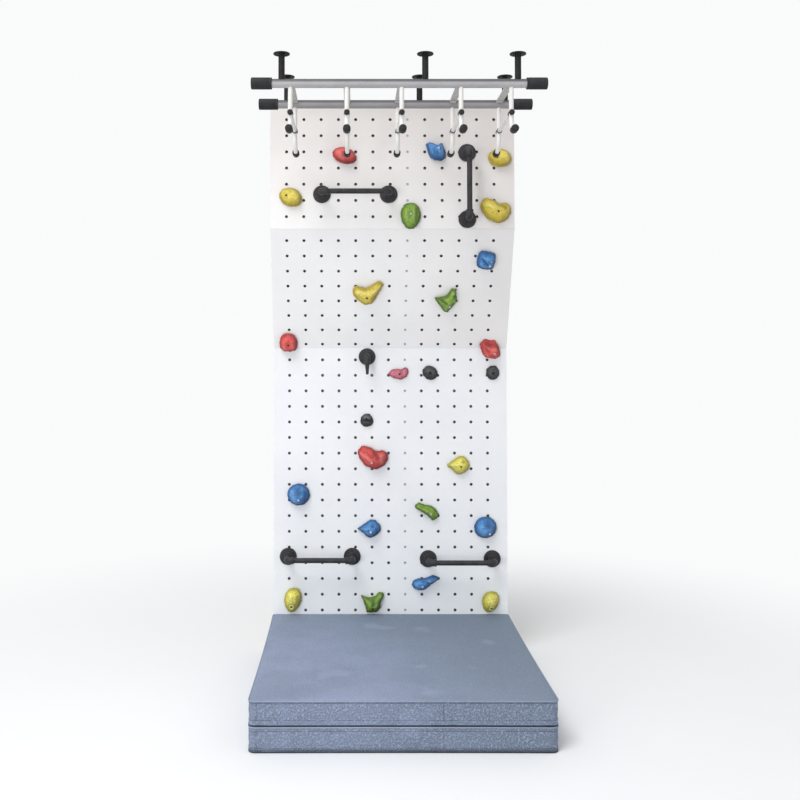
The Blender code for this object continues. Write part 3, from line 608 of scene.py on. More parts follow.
def make_mat_cover(name, colour, other, depth):
    """Coated cloth: a pebbled skin, coarser and mottled on the sides, with slow changes of tone, painted
    shade on the sides, in the grooves and dents and along the foot, and painted highlight on the swells.
    """
    cloth = Finish(name, 0.6, Specular_IOR_Level=0.35)
    side = cloth.attribute("side")
    x, y, z = cloth.apart(cloth.place)
    slant = cloth.maths("MULTIPLY_ADD", y, 0.7, x)
    # Darker towards the right and the back.
    slant_toned = cloth.mixed(cloth.eased(slant, -0.75, 0.65), colour, other)
    tone = cloth.uneven(slant_toned, other, 3.0, 0.5, 0.06)[0]
    pebble = cloth.add("TexVoronoi", {"Vector": cloth.place, "Scale": 240.0, "Smoothness": 0.6},
                       feature="SMOOTH_F1").outputs[0]
    low = cloth.eased(pebble, 0.30, 0.62)
    # Painted shade in the grooves between the pebbles.
    skin = cloth.mixed(cloth.times(low, 0.22), tone, shade(other, 0.62))
    coarse = cloth.noise(cloth.place, 125.0, 3.0)
    spots = cloth.eased(coarse, 0.38, 0.62)
    # Painted highlight on the swells of the sides, and painted shade in their dents.
    skin = cloth.mixed(cloth.times(cloth.times(spots, side), 0.34), skin, shade(colour, 1.45))
    dents = cloth.times(cloth.eased(coarse, 0.50, 0.36), cloth.times(side, 0.32))
    skin = cloth.mixed(dents, skin, shade(other, 0.55))
    # Painted shade: the sides darker than the top.
    skin = cloth.mixed(cloth.times(side, 0.24), skin, shade(other, 0.60))
    # Painted shade along the foot of the sides, next to the floor.
    foot = cloth.times(cloth.eased(z, 0.021, 0.008), cloth.times(side, 0.85))
    skin = cloth.mixed(foot, skin, shade(other, 0.30))
    wear_and_shade = cloth.times(cloth.eased(cloth.noise(cloth.place, 5.0), 0.60, 0.72), 0.16)
    cloth.paint(Base_Color=cloth.mixed(wear_and_shade, skin, shade(colour, 1.5)),
                Roughness=cloth.eased(coarse, 0.3, 0.7, 0.50, 0.70))
    swell = cloth.times(spots, cloth.maths("MULTIPLY_ADD", side, 1.5, 0.5))
    return cloth.bump(cloth.maths("SUBTRACT", swell, cloth.times(low, 0.5)), depth)


BOARD_COAT = make_board_paint()
TIMBER = make_timber()
# Colour, dark and pale of each resin
RESIN = {name: make_resin(name, *colours) for name, colours in {
    "red": ((0.72, 0.080, 0.068), (0.17, 0.008, 0.012), (0.92, 0.38, 0.33)),
    "blue": ((0.052, 0.240, 0.585), (0.004, 0.022, 0.080), (0.30, 0.60, 0.90)),
    "yellow": ((0.70, 0.565, 0.064), (0.30, 0.20, 0.015), (0.93, 0.88, 0.36)),
    "lemon": ((0.78, 0.722, 0.118), (0.24, 0.205, 0.020), (0.90, 0.89, 0.42)),
    "green": ((0.208, 0.372, 0.021), (0.020, 0.058, 0.006), (0.50, 0.66, 0.22)),
    "pink": ((0.58, 0.15, 0.20), (0.22, 0.035, 0.06), (0.84, 0.50, 0.54)),
    "black": ((0.030, 0.033, 0.035), (0.006, 0.006, 0.008), (0.20, 0.21, 0.21)),
}.items()}
BLACK_IRON = coated("black iron", (0.018, 0.018, 0.020), (0.050, 0.049, 0.053), 0.52, cloud=30.0, amount=0.6,
                    specks=0.25, lumps=180.0, grit=1100.0, depth=0.0005, scuffs=0.18,
                    scuff_colour=(0.12, 0.115, 0.115), Specular_IOR_Level=0.3)
POST_IRON = coated("black post iron", (0.008, 0.008, 0.009), (0.024, 0.023, 0.024), 0.56, cloud=30.0,
                   amount=0.6, specks=0.2, lumps=180.0, grit=1100.0, scuffs=0.15,
                   scuff_colour=(0.10, 0.095, 0.095), Specular_IOR_Level=0.18)
GALVANISED = make_rail_zinc()
BRIGHT_STEEL = coated("bright bolt steel", (0.66, 0.71, 0.78), (0.45, 0.48, 0.53), 0.30, 0.35, cloud=90.0,
                      amount=0.4, specks=0.1, depth=0.0001)
TIE_ZINC = coated("dull zinc", (0.44, 0.435, 0.43), (0.35, 0.345, 0.34), 0.5, 0.1, cloud=18.0, amount=0.6,
                  specks=0.1, depth=0.00012, scuffs=0.1, scuff_colour=(0.30, 0.30, 0.31))
DARK_STEEL = coated("black bolt steel", (0.020, 0.020, 0.022), (0.05, 0.05, 0.053), 0.42, 0.2, cloud=90.0,
                    amount=0.6, depth=0.0001)
SCREW_ZINC = coated("screw zinc", (0.42, 0.42, 0.42), (0.26, 0.26, 0.26), 0.5, 0.4, cloud=200.0, amount=0.6,
                    depth=0.0001)
RUBBER = coated("black rubber", (0.013, 0.013, 0.015), (0.030, 0.030, 0.033), 0.60, cloud=24.0, amount=0.6,
                specks=0.25, lumps=90.0, grit=800.0, share=0.55, scuffs=0.15,
                scuff_colour=(0.08, 0.08, 0.085), Specular_IOR_Level=0.25)
WHITE_PAINT = coated("white powder coat", (0.71, 0.695, 0.668), (0.64, 0.625, 0.60), 0.34, cloud=20.0,
                     specks=0.05, lumps=220.0, grit=900.0, share=0.3, depth=0.00025, scuffs=0.2,
                     scuff_colour=(0.55, 0.53, 0.50))
INSERT_STEEL = make_insert_steel()
COVER = make_mat_cover("mat cover", (0.326, 0.383, 0.545), (0.190, 0.242, 0.320), 0.0022)
COVER_EDGE = make_mat_cover("mat piping", (0.31, 0.355, 0.48), (0.22, 0.27, 0.35), 0.0004)
COVER_UNDER = make_mat_cover("mat stitching", (0.085, 0.105, 0.155), (0.06, 0.075, 0.11), 0.0003)
# Piping round the foot of each layer: dark underside cloth, darkened further as painted shade of the gap
# between the layers and of the floor's edge.
COVER_FOOT = make_mat_cover("mat foot piping", (0.022, 0.030, 0.058), (0.014, 0.019, 0.036), 0.0003)


# Boards, inserts and frames

def board_place(foot_y, foot_z, lean):
    """Frame on a board's front: X across, Y up its face, Z out of its face."""
    across = Vector((1.0, 0.0, 0.0))
    up = Vector((0.0, -math.sin(lean), math.cos(lean)))
    axes = Matrix((across, up, across.cross(up))).transposed().to_4x4()
    return Matrix.Translation((0.0, foot_y, foot_z)) @ axes


Board = namedtuple("Board", "node place lean length first_row rows")
BOARDS = {
    "lower": Board("sheet_lower", board_place(FACE_Y, 0.0, 0.0), 0.0, LOWER_LENGTH, 0.060, 19),
    "middle": Board("sheet_middle", board_place(FACE_Y, LOWER_LENGTH, LEAN), LEAN, MIDDLE_LENGTH, 0.0235, 8),
    "upper": Board("sheet_upper", board_place(UPPER_FACE_Y, UPPER_FOOT, 0.0), 0.0, UPPER_LENGTH, 0.060, 7),
}


def column_x(column):
    return FIRST_COLUMN + COLUMN_PITCH * column


def on_board(label, column, row, shift, lift=0.0):
    """Frame on a board's face, moved from a hole."""
    board = BOARDS[label]
    return board.place @ Matrix.Translation(
        (column_x(column) + shift[0], board.first_row + ROW_PITCH * row + shift[1], lift))


def even_triangles(board):
    """Turns the long thin triangles of a filled outline into more even ones."""
    edit(board)
    leave_edit()
    for polygon in board.data.polygons:
        polygon.select = abs(polygon.normal.z) > FLAT or polygon.normal.length < 0.5
    bpy.ops.object.mode_set(mode="EDIT")
    bpy.ops.mesh.beautify_fill()
    leave_edit()


def drilled_board(label):
    """Ply board with a grid of round holes and eased edges. Its two faces are flat shaded."""
    board = BOARDS[label]
    half, top = BOARD_WIDTH / 2, board.length - FIT_GAP
    outline = bpy.data.curves.new("board_" + label, "CURVE")
    outline.dimensions = "2D"
    outline.fill_mode = "BOTH"
    outline.bevel_depth = BOARD_EASE
    outline.bevel_resolution = 1
    outline.offset = -BOARD_EASE
    outline.extrude = BOARD_THICKNESS / 2 - BOARD_EASE
    angles = [TURN * i / HOLE_SIDES for i in range(HOLE_SIDES)]
    loops = [[(-half, 0.0), (half, 0.0), (half, top), (-half, top)]]
    for row in range(board.rows):
        for column in range(COLUMNS):
            x, y = column_x(column), board.first_row + ROW_PITCH * row
            loops.append([(x + HOLE_RADIUS * math.cos(a), y + HOLE_RADIUS * math.sin(a)) for a in angles])
    for loop in loops:
        spline = outline.splines.new("POLY")
        spline.points.add(len(loop) - 1)
        for point, (x, y) in zip(spline.points, loop):
            point.co = (x, y, 0.0, 1.0)
        spline.use_cyclic_u = True
    sheet = take(link("board_" + label, outline))
    bpy.ops.object.convert(target="MESH")
    clean(sheet)
    even_triangles(sheet)
    moved(sheet, Matrix.Translation((0.0, 0.0, -BOARD_THICKNESS / 2)))
    note(sheet, "board", points_of(sheet.data) - (FIRST_COLUMN, board.first_row, 0.0))
    slant, edge = math.tan(board.lean), 2 * BOARD_EASE
    for vertex in sheet.data.vertices:
        x, y, z = vertex.co
        if abs(x) > half - edge or y < edge or y > top - edge:
            vertex.co.y += z * slant
    smooth(sheet, 50)
    for polygon in sheet.data.polygons:
        if abs(polygon.normal.z) > FLAT:
            polygon.use_smooth = False
    return finish_piece(moved(sheet, board.place), BOARD_COAT, "wall", "board_paint", board.node)


def run_of(model, name, label, first, columns):
    """Copies of one small piece at the holes of some neighbouring columns."""
    board = BOARDS[label]
    run = copied(model, name, Matrix.Translation((column_x(first), board.first_row, 0.0)))
    for count, step in ((columns, (COLUMN_PITCH, 0.0, 0.0)), (board.rows, (0.0, ROW_PITCH, 0.0))):
        modify(run, "ARRAY", count=count, use_relative_offset=False, use_constant_offset=True,
               constant_offset_displace=step)
    return run


def threaded_inserts(label):
    """Closed inserts pressed into the holes from behind, and screws in the column before the stud."""
    place, back = BOARDS[label].place, -BOARD_THICKNESS
    model = turned("insert", [(0.0, back - 0.0016), (0.0115, back - 0.0016), (0.0115, back - 0.0001),
                              (0.0058, back - 0.0001), (0.0058, -0.0090), (0.0047, -0.0090),
                              (0.0047, back + 0.0004), (0.0, back + 0.0004)], 10)
    runs = [run_of(model, f"inserts_{label}_{first}", label, first, count)
            for first, count in ((0, STUD_COLUMN), (STUD_COLUMN + 1, COLUMNS - STUD_COLUMN - 1))]
    inserts = joined("inserts_" + label, runs)
    # Mask of the barrel's inside, where the material paints shade.
    note(inserts, "inside", ((points_of(inserts.data)[:, 2] - back) / 0.001).clip(0.0, 1.0))
    finish_piece(smooth(moved(inserts, place), 40), INSERT_STEEL, "wall", "galvanised_steel")
    screw = turned("screw", [(0.0, -0.0022), (0.0020, -0.0022), (0.0026, -0.0013), (0.0050, -0.0010),
                             (0.0057, -0.0016), (0.0057, -0.0060), (0.0025, -0.0080), (0.0, -0.0080)], 12)
    screws = run_of(screw, "board_screws_" + label, label, STUD_COLUMN, 1)
    finish_piece(smooth(moved(screws, place), 40), SCREW_ZINC, "wall", "galvanised_steel")
    drop(model, screw)


def stud_shapes():
    """Side outlines (Y, Z) of the four timbers of a frame, with the direction that the grain runs in."""
    slope = math.tan(LEAN)
    front = FACE_Y + BOARD_THICKNESS + FIT_GAP
    back = front + STUD
    upper_front = UPPER_FACE_Y + BOARD_THICKNESS + FIT_GAP
    upper_back = upper_front + STUD
    level_board = (BOARD_THICKNESS + FIT_GAP) / math.cos(LEAN)
    level_stud = level_board + STUD / math.cos(LEAN)

    def height_on(level, y):
        return LOWER_LENGTH + (FACE_Y + level - y) / slope

    knee = (upper_front, height_on(level_board, upper_front))
    inner_knee = (upper_back, height_on(level_stud, upper_back))
    upright, leaning, level = (0.0, 1.0), (-math.sin(LEAN), math.cos(LEAN)), (1.0, 0.0)
    return {
        "back_stud": ([(front, 0.0), (back, 0.0), (back, BOARDS_TOP), (front, BOARDS_TOP)], upright),
        "leaning_stud": ([knee, (front, height_on(level_board, front)), (front, height_on(level_stud, front)),
                          inner_knee], leaning),
        "upper_stud": ([knee, inner_knee, (upper_back, BOARDS_TOP), (upper_front, BOARDS_TOP)], upright),
        "top_tie": ([(upper_back, BOARDS_TOP - STUD), (front, BOARDS_TOP - STUD), (front, BOARDS_TOP),
                     (upper_back, BOARDS_TOP)], level),
    }


def timber(name, outline, grain, x):
    """Stud with eased edges, made from its side outline."""
    points = [Vector((x - STUD / 2, y, z)) for y, z in outline]
    middle = sum(points, Vector()) / len(points)
    points = [middle + (p - middle) * (1.0 - 0.0002) for p in points]
    stud = drawn_line(name, points, closed=True)
    edit(stud)
    bpy.ops.mesh.extrude_region_move(TRANSFORM_OT_translate={"value": (STUD, 0.0, 0.0)})
    bpy.ops.mesh.select_all(action="SELECT")
    bpy.ops.mesh.normals_make_consistent(inside=False)
    leave_edit()
    bevelled(stud, STUD_EASE)
    along, across = Vector((0.0, *grain)), Vector((0.0, grain[1], -grain[0]))
    note(stud, "along", [(vertex.co.dot(along) + x * 3.1, vertex.co.dot(across), vertex.co.x - x)
                         for vertex in stud.data.vertices])
    return smooth(stud, 40)


def timber_frames():
    """Three frames, each of a back stud, a leaning stud, an upper stud and a top tie."""
    outer = (BOARD_WIDTH - STUD) / 2
    for side, x in (("left", -outer), ("centre", column_x(STUD_COLUMN)), ("right", outer)):
        for part, (outline, grain) in stud_shapes().items():
            stud = timber(f"{part}_{side}", outline, grain, x)
            nodes = ["frame_" + side] if part == "back_stud" else []
            finish_piece(stud, TIMBER, "wall", "bare_timber", *nodes)


for label in BOARDS:
    drilled_board(label)
    threaded_inserts(label)
timber_frames()


# Holds

def socket_bolt(name, radius, height):
    """Cap head with a hexagon socket, its bearing face at height 0."""
    socket = radius * 0.56
    head = turned(name, [(socket * 0.98, height), (radius - 0.0008, height), (radius, height - 0.0008),
                         (radius, 0.0), (0.0, 0.0)], 18)
    floor = solid("socket", "circle", vertices=6, radius=socket, fill_type="NGON",
                  location=(0, 0, height * 0.4))
    edit(floor)
    bpy.ops.mesh.extrude_region_move(TRANSFORM_OT_translate={"value": (0, 0, height * 0.6)})
    bpy.ops.mesh.delete(type="ONLY_FACE")
    bpy.ops.mesh.select_all(action="SELECT")
    bpy.ops.mesh.flip_normals()
    leave_edit()
    return smooth(joined(name, [head, floor]), 30)


# Board, colour, hole column and row, shift from the hole, size, place and kind of the bolt, then the
# strokes that shape the front: from, to, width and height, in halves of the size except the height.
# A stroke below 0 is a hollow. Places are set out from the middle of the hold.
HOLDS = {
    "hold_red_oval": (
        "upper", "red", 3, 4, (0.030, -0.023), (0.124, 0.070, 0.055), (0.16, 0.10, "deep"),
        [(0.16, 0.10, 0.16, 0.10, 0.52, -0.010), (-0.55, 0.25, -0.15, -0.45, 0.35, 0.0030)]),
    "hold_blue_block": (
        "upper", "blue", 9, 4, (-0.032, -0.003), (0.096, 0.087, 0.055), (0.22, 0.26, "bright"),
        [(0.0, 0.90, 0.05, 0.60, 0.24, -0.0040), (-0.55, 0.55, -0.30, -0.55, 0.22, 0.0022),
         (0.55, 0.55, 0.62, -0.60, 0.20, 0.0030), (-0.25, 0.1, 0.15, -0.35, 0.30, -0.0030)]),
    "hold_yellow_oval_right": (
        "upper", "yellow", 12, 4, (0.028, -0.033), (0.113, 0.077, 0.055), (-0.30, 0.05, "deep"),
        [(-0.32, 0.05, -0.32, 0.05, 0.34, -0.008), (0.35, 0.45, 0.55, -0.35, 0.35, 0.0028)]),
    "hold_yellow_oval_left": (
        "upper", "yellow", 0, 1, (0.021, 0.014), (0.112, 0.078, 0.050), (-0.33, 0.15, "sunk"),
        [(-0.33, 0.15, -0.33, 0.15, 0.30, -0.0035), (0.30, 0.35, 0.55, -0.25, 0.30, 0.0024)]),
    "hold_green_egg": (
        "upper", "green", 7, 0, (0.015, 0.0), (0.095, 0.123, 0.055), (-0.05, 0.12, "bright"),
        [(-0.05, 0.12, -0.05, 0.12, 0.42, -0.0045), (0.55, 0.45, 0.55, -0.35, 0.28, -0.0050),
         (0.28, 0.55, 0.22, -0.45, 0.20, 0.0026), (-0.50, 0.35, -0.35, -0.55, 0.25, 0.0020)]),
    "hold_yellow_bean": (
        "upper", "yellow", 12, 0, (0.006, 0.026), (0.141, 0.117, 0.065), (0.10, -0.12, "sunk"),
        [(0.10, 0.60, 0.55, 0.22, 0.34, -0.0110), (-0.75, 0.45, 0.0, 0.10, 0.18, 0.0032),
         (0.0, 0.10, 0.10, -0.12, 0.20, -0.0030), (0.75, 0.15, 0.60, -0.40, 0.20, 0.0025)]),
    "hold_blue_cube": (
        "middle", "blue", 12, 6, (-0.032, -0.023), (0.086, 0.074, 0.060), (0.32, -0.30, "bright"),
        [(-0.50, 0.42, 0.08, -0.22, 0.20, -0.0075), (-0.05, 0.55, 0.50, 0.12, 0.18, 0.0035),
         (-0.65, -0.10, -0.15, -0.60, 0.20, 0.0030), (0.10, 0.20, 0.45, -0.05, 0.16, -0.0045)]),
    "hold_yellow_hook": (
        "middle", "yellow", 5, 4, (-0.023, -0.033), (0.150, 0.110, 0.055), (-0.06, -0.16, "sunk"),
        [(-0.06, -0.16, -0.06, -0.16, 0.22, -0.0040), (-0.70, 0.30, 0.05, 0.20, 0.16, 0.0030),
         (0.15, 0.15, 0.75, 0.70, 0.15, 0.0036), (0.25, -0.30, 0.80, 0.45, 0.16, -0.0060)]),
    "hold_green_arrow": (
        "middle", "green", 9, 3, (0.030, 0.004), (0.108, 0.110, 0.055), (0.30, -0.34, "bright"),
        [(-0.60, 0.30, 0.05, -0.05, 0.20, -0.0075), (-0.85, 0.38, 0.15, 0.30, 0.12, 0.0030),
         (0.62, 0.78, 0.62, 0.78, 0.26, 0.0060), (0.75, 0.15, 0.75, 0.15, 0.22, 0.0060),
         (0.45, -0.55, 0.45, -0.55, 0.20, 0.0050), (0.66, 0.46, 0.66, 0.46, 0.16, -0.0060),
         (0.10, -0.10, 0.0, -0.80, 0.18, 0.0026)]),
    "hold_red_knob": (
        "middle", "red", 0, 0, (-0.004, 0.014), (0.085, 0.078, 0.050), (0.0, 0.05, "sunk"),
        [(0.0, 0.05, 0.0, 0.05, 0.40, -0.0030), (-0.45, 0.30, -0.35, -0.45, 0.25, 0.0020),
         (0.40, 0.40, 0.50, -0.35, 0.22, 0.0024)]),
    "hold_red_block": (
        "middle", "red", 12, 0, (0.012, -0.026), (0.099, 0.078, 0.060), (0.36, 0.04, "bright"),
        [(-0.60, 0.65, -0.10, 0.20, 0.22, -0.0065), (-0.15, 0.55, 0.55, 0.35, 0.18, 0.0030),
         (-0.35, -0.10, -0.10, -0.60, 0.20, 0.0026), (0.10, -0.15, 0.50, -0.50, 0.24, -0.0050)]),
    "foothold_pink": (
        "lower", "pink", 7, 17, (-0.033, 0.008), (0.098, 0.066, 0.030), (0.08, -0.05, "sunk"),
        [(0.22, 0.80, 0.28, -0.10, 0.22, -0.0050), (-0.55, 0.20, -0.10, -0.30, 0.25, 0.0020),
         (0.60, 0.30, 0.55, -0.40, 0.22, 0.0024)]),
    "foothold_black_dome": (
        "lower", "black", 9, 17, (-0.040, 0.011), (0.080, 0.070, 0.030), (0.0, 0.0, "deep"),
        [(0.35, -0.55, 0.65, -0.20, 0.22, -0.0045), (-0.40, 0.45, 0.20, 0.40, 0.20, 0.0018)]),
    "foothold_black_disc": (
        "lower", "black", 12, 17, (0.028, 0.011), (0.067, 0.072, 0.030), (0.0, 0.0, "deep"),
        [(-0.05, -0.85, 0.15, -0.70, 0.18, -0.0035), (-0.35, 0.35, -0.40, -0.25, 0.22, 0.0016)]),
    "foothold_black_pinch": (
        "lower", "black", 5, 14, (-0.026, 0.007), (0.066, 0.066, 0.028), (-0.05, 0.20, "deep"),
        [(-0.75, 0.05, 0.90, -0.05, 0.16, -0.0060), (0.45, 0.05, 0.95, 0.20, 0.22, -0.0060),
         (-0.35, 0.55, 0.35, 0.50, 0.50, 0.0040)]),
    "hold_red_bean": (
        "lower", "red", 5, 12, (0.005, -0.023), (0.153, 0.116, 0.065), (-0.10, -0.32, "bright"),
        [(-0.80, 0.42, -0.10, -0.20, 0.14, 0.0048), (0.12, 0.45, 0.30, 0.02, 0.30, -0.0080),
         (0.60, 0.30, 0.50, -0.30, 0.25, 0.0030), (-0.55, 0.55, 0.0, 0.15, 0.18, -0.0040)]),
    "hold_yellow_lemon": (
        "lower", "lemon", 10, 11, (0.019, 0.016), (0.104, 0.087, 0.050), (0.17, -0.04, "sunk"),
        [(0.42, 0.42, 0.42, 0.42, 0.28, -0.0065), (0.17, -0.04, 0.17, -0.04, 0.26, -0.0030),
         (-0.75, 0.05, -0.15, 0.15, 0.18, 0.0026), (-0.20, -0.45, 0.30, -0.55, 0.20, 0.0022)]),
    "hold_blue_round_left": (
        "lower", "blue", 1, 9, (-0.036, 0.027), (0.113, 0.107, 0.060), (0.0, -0.36, "bright"),
        [(-0.02, 0.48, 0.06, 0.22, 0.50, -0.0060), (-0.60, 0.35, -0.30, -0.40, 0.40, 0.0026),
         (0.62, 0.30, 0.50, -0.50, 0.34, -0.0060)]),
    "hold_green_slug": (
        "lower", "green", 8, 8, (0.026, 0.020), (0.121, 0.088, 0.045), (0.30, -0.12, "bright"),
        [(-0.75, 0.55, 0.20, 0.0, 0.13, 0.0032), (-0.60, 0.68, 0.15, 0.40, 0.12, -0.0045),
         (0.55, 0.0, 0.65, -0.60, 0.18, -0.0050), (0.20, -0.10, 0.40, -0.55, 0.16, 0.0026)]),
    "hold_blue_teardrop": (
        "lower", "blue", 5, 7, (-0.014, 0.013), (0.116, 0.087, 0.055), (0.10, -0.18, "bright"),
        [(0.28, 0.42, 0.28, 0.42, 0.30, -0.0070), (-0.80, 0.0, -0.10, 0.10, 0.16, 0.0032),
         (-0.35, -0.25, 0.25, -0.60, 0.18, 0.0026), (0.60, 0.10, 0.50, -0.35, 0.22, -0.0040)]),
    "hold_blue_round_right": (
        "lower", "blue", 12, 7, (-0.014, 0.019), (0.113, 0.106, 0.060), (0.31, -0.46, "bright"),
        [(0.10, 0.55, 0.20, 0.28, 0.48, -0.0060), (-0.45, 0.15, -0.20, -0.40, 0.42, 0.0028),
         (0.66, 0.15, 0.55, -0.40, 0.30, -0.0060)]),
    "hold_blue_bulb": (
        "lower", "blue", 8, 4, (0.018, -0.022), (0.136, 0.077, 0.045), (-0.25, -0.25, "bright"),
        [(-0.10, 0.30, 0.15, 0.20, 0.22, -0.0050), (0.20, 0.35, 0.80, 0.65, 0.12, 0.0026),
         (0.30, -0.15, 0.85, 0.40, 0.14, -0.0050), (-0.75, 0.10, -0.45, -0.45, 0.22, 0.0020)]),
    "hold_yellow_egg_left": (
        "lower", "lemon", 0, 2, (0.018, 0.051), (0.083, 0.120, 0.055), (-0.05, -0.38, "boss"),
        [(-0.05, -0.38, -0.05, -0.38, 0.46, -0.0050), (-0.35, 0.60, 0.20, 0.10, 0.25, 0.0024),
         (0.55, 0.40, 0.55, -0.30, 0.22, -0.0040)]),
    "hold_green_horns": (
        "lower", "green", 5, 2, (0.001, 0.041), (0.116, 0.100, 0.055), (0.05, -0.47, "sunk"),
        [(-0.10, 0.75, 0.10, -0.05, 0.36, -0.0080), (-0.80, 0.62, -0.25, -0.20, 0.14, 0.0032),
         (0.70, 0.72, 0.25, -0.30, 0.14, 0.0034), (0.62, 0.05, 0.45, -0.60, 0.20, -0.0060),
         (0.05, -0.47, 0.05, -0.47, 0.20, -0.0040)]),
    "hold_yellow_egg_right": (
        "lower", "lemon", 12, 2, (0.009, 0.040), (0.083, 0.104, 0.055), (0.12, -0.42, "boss"),
        [(0.12, -0.42, 0.12, -0.42, 0.46, -0.0050), (-0.30, 0.60, 0.15, 0.10, 0.25, 0.0024),
         (0.58, 0.40, 0.58, -0.25, 0.22, -0.0040)]),
}
HOLD_VOXEL = 0.0021
# Rounds of smoothing, for holds that are more angular or rounder than most
USUAL_ROUNDING = 90
ROUNDING = {
    "hold_green_arrow": 9, "hold_blue_teardrop": 9, "hold_yellow_hook": 12, "hold_green_horns": 9,
    "foothold_black_pinch": 9, "foothold_pink": 12, "hold_blue_cube": 9, "hold_blue_block": 26,
    "hold_green_slug": 28, "hold_yellow_lemon": 80, "hold_yellow_bean": 170, "hold_green_egg": 150,
}
# How a hold differs from its solid, in the order in which grown takes it
GROWTH = {
    "hold_red_oval": (0.99, 1.14), "hold_blue_block": (1.06, 1.08),
    "hold_yellow_oval_right": (1.03, 1.12, 1.03), "hold_yellow_oval_left": (1.05, 1.12, 1.05),
    "hold_green_egg": (1.06, 1.05), "hold_yellow_bean": (1.08, 1.06), "hold_blue_cube": (1.09, 1.32),
    "hold_yellow_hook": (1.06, 1.12, 1.06), "hold_green_arrow": (1.06, 1.20),
    "hold_red_knob": (1.12, 1.28, 1.09), "hold_red_block": (1.14, 1.06, 1.13),
    "foothold_pink": (1.08, 0.98, 1.0, 0.0, 0.20, 0.32), "hold_red_bean": (1.03, 1.04, 1.02),
    "hold_yellow_lemon": (1.14, 1.13), "hold_blue_round_left": (1.04, 1.06),
    "hold_green_slug": (1.03, 1.08), "hold_blue_teardrop": (1.05, 1.12),
    "hold_blue_round_right": (1.03, 1.05), "hold_yellow_egg_left": (1.08, 1.0, 1.04, 0.10),
    "hold_green_horns": (1.03, 1.03, 1.04), "hold_yellow_egg_right": (1.08, 1.03, 1.0, 0.12),
}
# Recess radius, depth of the bolt's seat under the surface, and the bolt
SEATS = {"bright": (0.0064, 0.0045, "bright"), "sunk": (0.0052, 0.0060, "dark"),
         "deep": (0.0066, 0.0120, "dark"), "boss": (0.0060, 0.0120, "dark")}
# Radius and height of a bolt's head, its material and its slot
BOLTS = {"bright": (0.0056, 0.0052, BRIGHT_STEEL, "galvanised_steel"),
         "dark": (0.0048, 0.0045, DARK_STEEL, "black_pipe")}
# Length of a swell on a hold's face, and its height
SWELLS = ((0.041, 0.0012), (0.026, 0.0011), (0.016, 0.0010), (0.0105, 0.0009), (0.0070, 0.0006))


def stroke(points, size, mark):
    """How much each point feels a stroke: 1 on its line, falling softly to 0 at its width."""
    half = np.array(size[:2]) / 2
    start, end = np.array(mark[0:2]) * half, np.array(mark[2:4]) * half
    width = mark[4] * half.mean()
    line = end - start
    share = ((points[:, :2] - start) @ line / max(line @ line, 1e-12)).clip(0.0, 1.0)
    away = np.linalg.norm(points[:, :2] - start - share[:, None] * line, axis=1) / width
    return (1.0 - away.clip(0.0, 1.0) ** 2) ** 2


def lumps(points, seed):
    """Low swells and small bumps, the same on each run."""
    total = np.zeros(len(points))
    for number, (length, height) in enumerate(SWELLS):
        turn = Matrix.Rotation(1.1 + number * 1.7 + seed, 3, "Z") @ Matrix.Rotation(0.7 + number, 3, "X")
        x, y, z = (points @ np.array(turn) * (TURN / length)).T
        total += height * np.sin(x + seed * 3) * np.sin(y + number) * np.cos(z * 0.8)
    return total


def grown(places, top, size, across=1.03, up=1.03, down=1.0, lean=0.0, rise=0.0, taper=0.0):
    """
    Places on a hold after its growth across, up, and down from its top, its lean to the right per
    length up, its rise per length to the right and its taper to the left.
    """
    x, y = places[:, 0], places[:, 1]
    y = (top - (top - y) * down) * up * (1.0 + taper * x / (size[0] / 2))
    return np.stack([x * across + lean * places[:, 1], y + rise * x], axis=1)


def rim_distance(points, normals):
    """Distance of each point, seen from the front, to the steep side of the hold."""
    steep = points[(np.abs(normals[:, 2]) < 0.45) & (points[:, 2] > points[:, 2].min() + 0.004)]
    tree = KDTree(len(steep))
    for number, (x, y, _) in enumerate(steep):
        tree.insert((x, y, 0.0), number)
    tree.balance()
    return np.array([tree.find((x, y, 0.0))[2] for x, y, _ in points])


def bell(distance, width, power=2):
    """1 at no distance, falling softly to 0."""
    return np.exp(-(distance / width) ** power)


def worked_over(points, size, strokes, facing):
    """Raises or sinks points by each stroke. Returns masks of the hollows and of what stands proud."""
    hollow, proud = np.zeros(len(points)), np.zeros(len(points))
    for mark in strokes:
        felt, height = stroke(points, size, mark) * facing, mark[5]
        points[:, 2] += felt * height
        if height < 0:
            hollow = np.maximum(hollow, felt * min(1.0, -height / 0.008))
        else:
            proud = np.maximum(proud, felt * min(1.0, height / 0.004) * 0.55)
    return hollow, proud


def raised_boss(points, bolt, facing, hollow, proud):
    """Raises a ring round the bolt, with a hollow outside it. Returns the masks with both in them."""
    away = np.linalg.norm(points[:, :2] - bolt, axis=1)
    points[:, 2] += bell(away - 0.0095, 0.0022) * facing * 0.0045
    hollow = np.maximum(hollow, bell(away - 0.0165, 0.0036) * facing * 0.75)
    hollow *= 1.0 - bell(away, 0.012, 4)
    return hollow, np.maximum(proud, bell(away - 0.0085, 0.0032) * facing)


def edge_shade(points, size, rim):
    """Mask of painted shade on the rim, wider on the side away from the light."""
    away = points[:, :2] - points[:, :2].mean(0)
    lee = (away @ LEE_SIDE / np.maximum(np.linalg.norm(away, axis=1), 1e-6)).clip(0.0, 1.0)
    return np.maximum(bell(rim, 0.0050) * (0.75 + 0.25 * lee), bell(rim, 0.15 * min(size[:2])) * lee * 0.72)


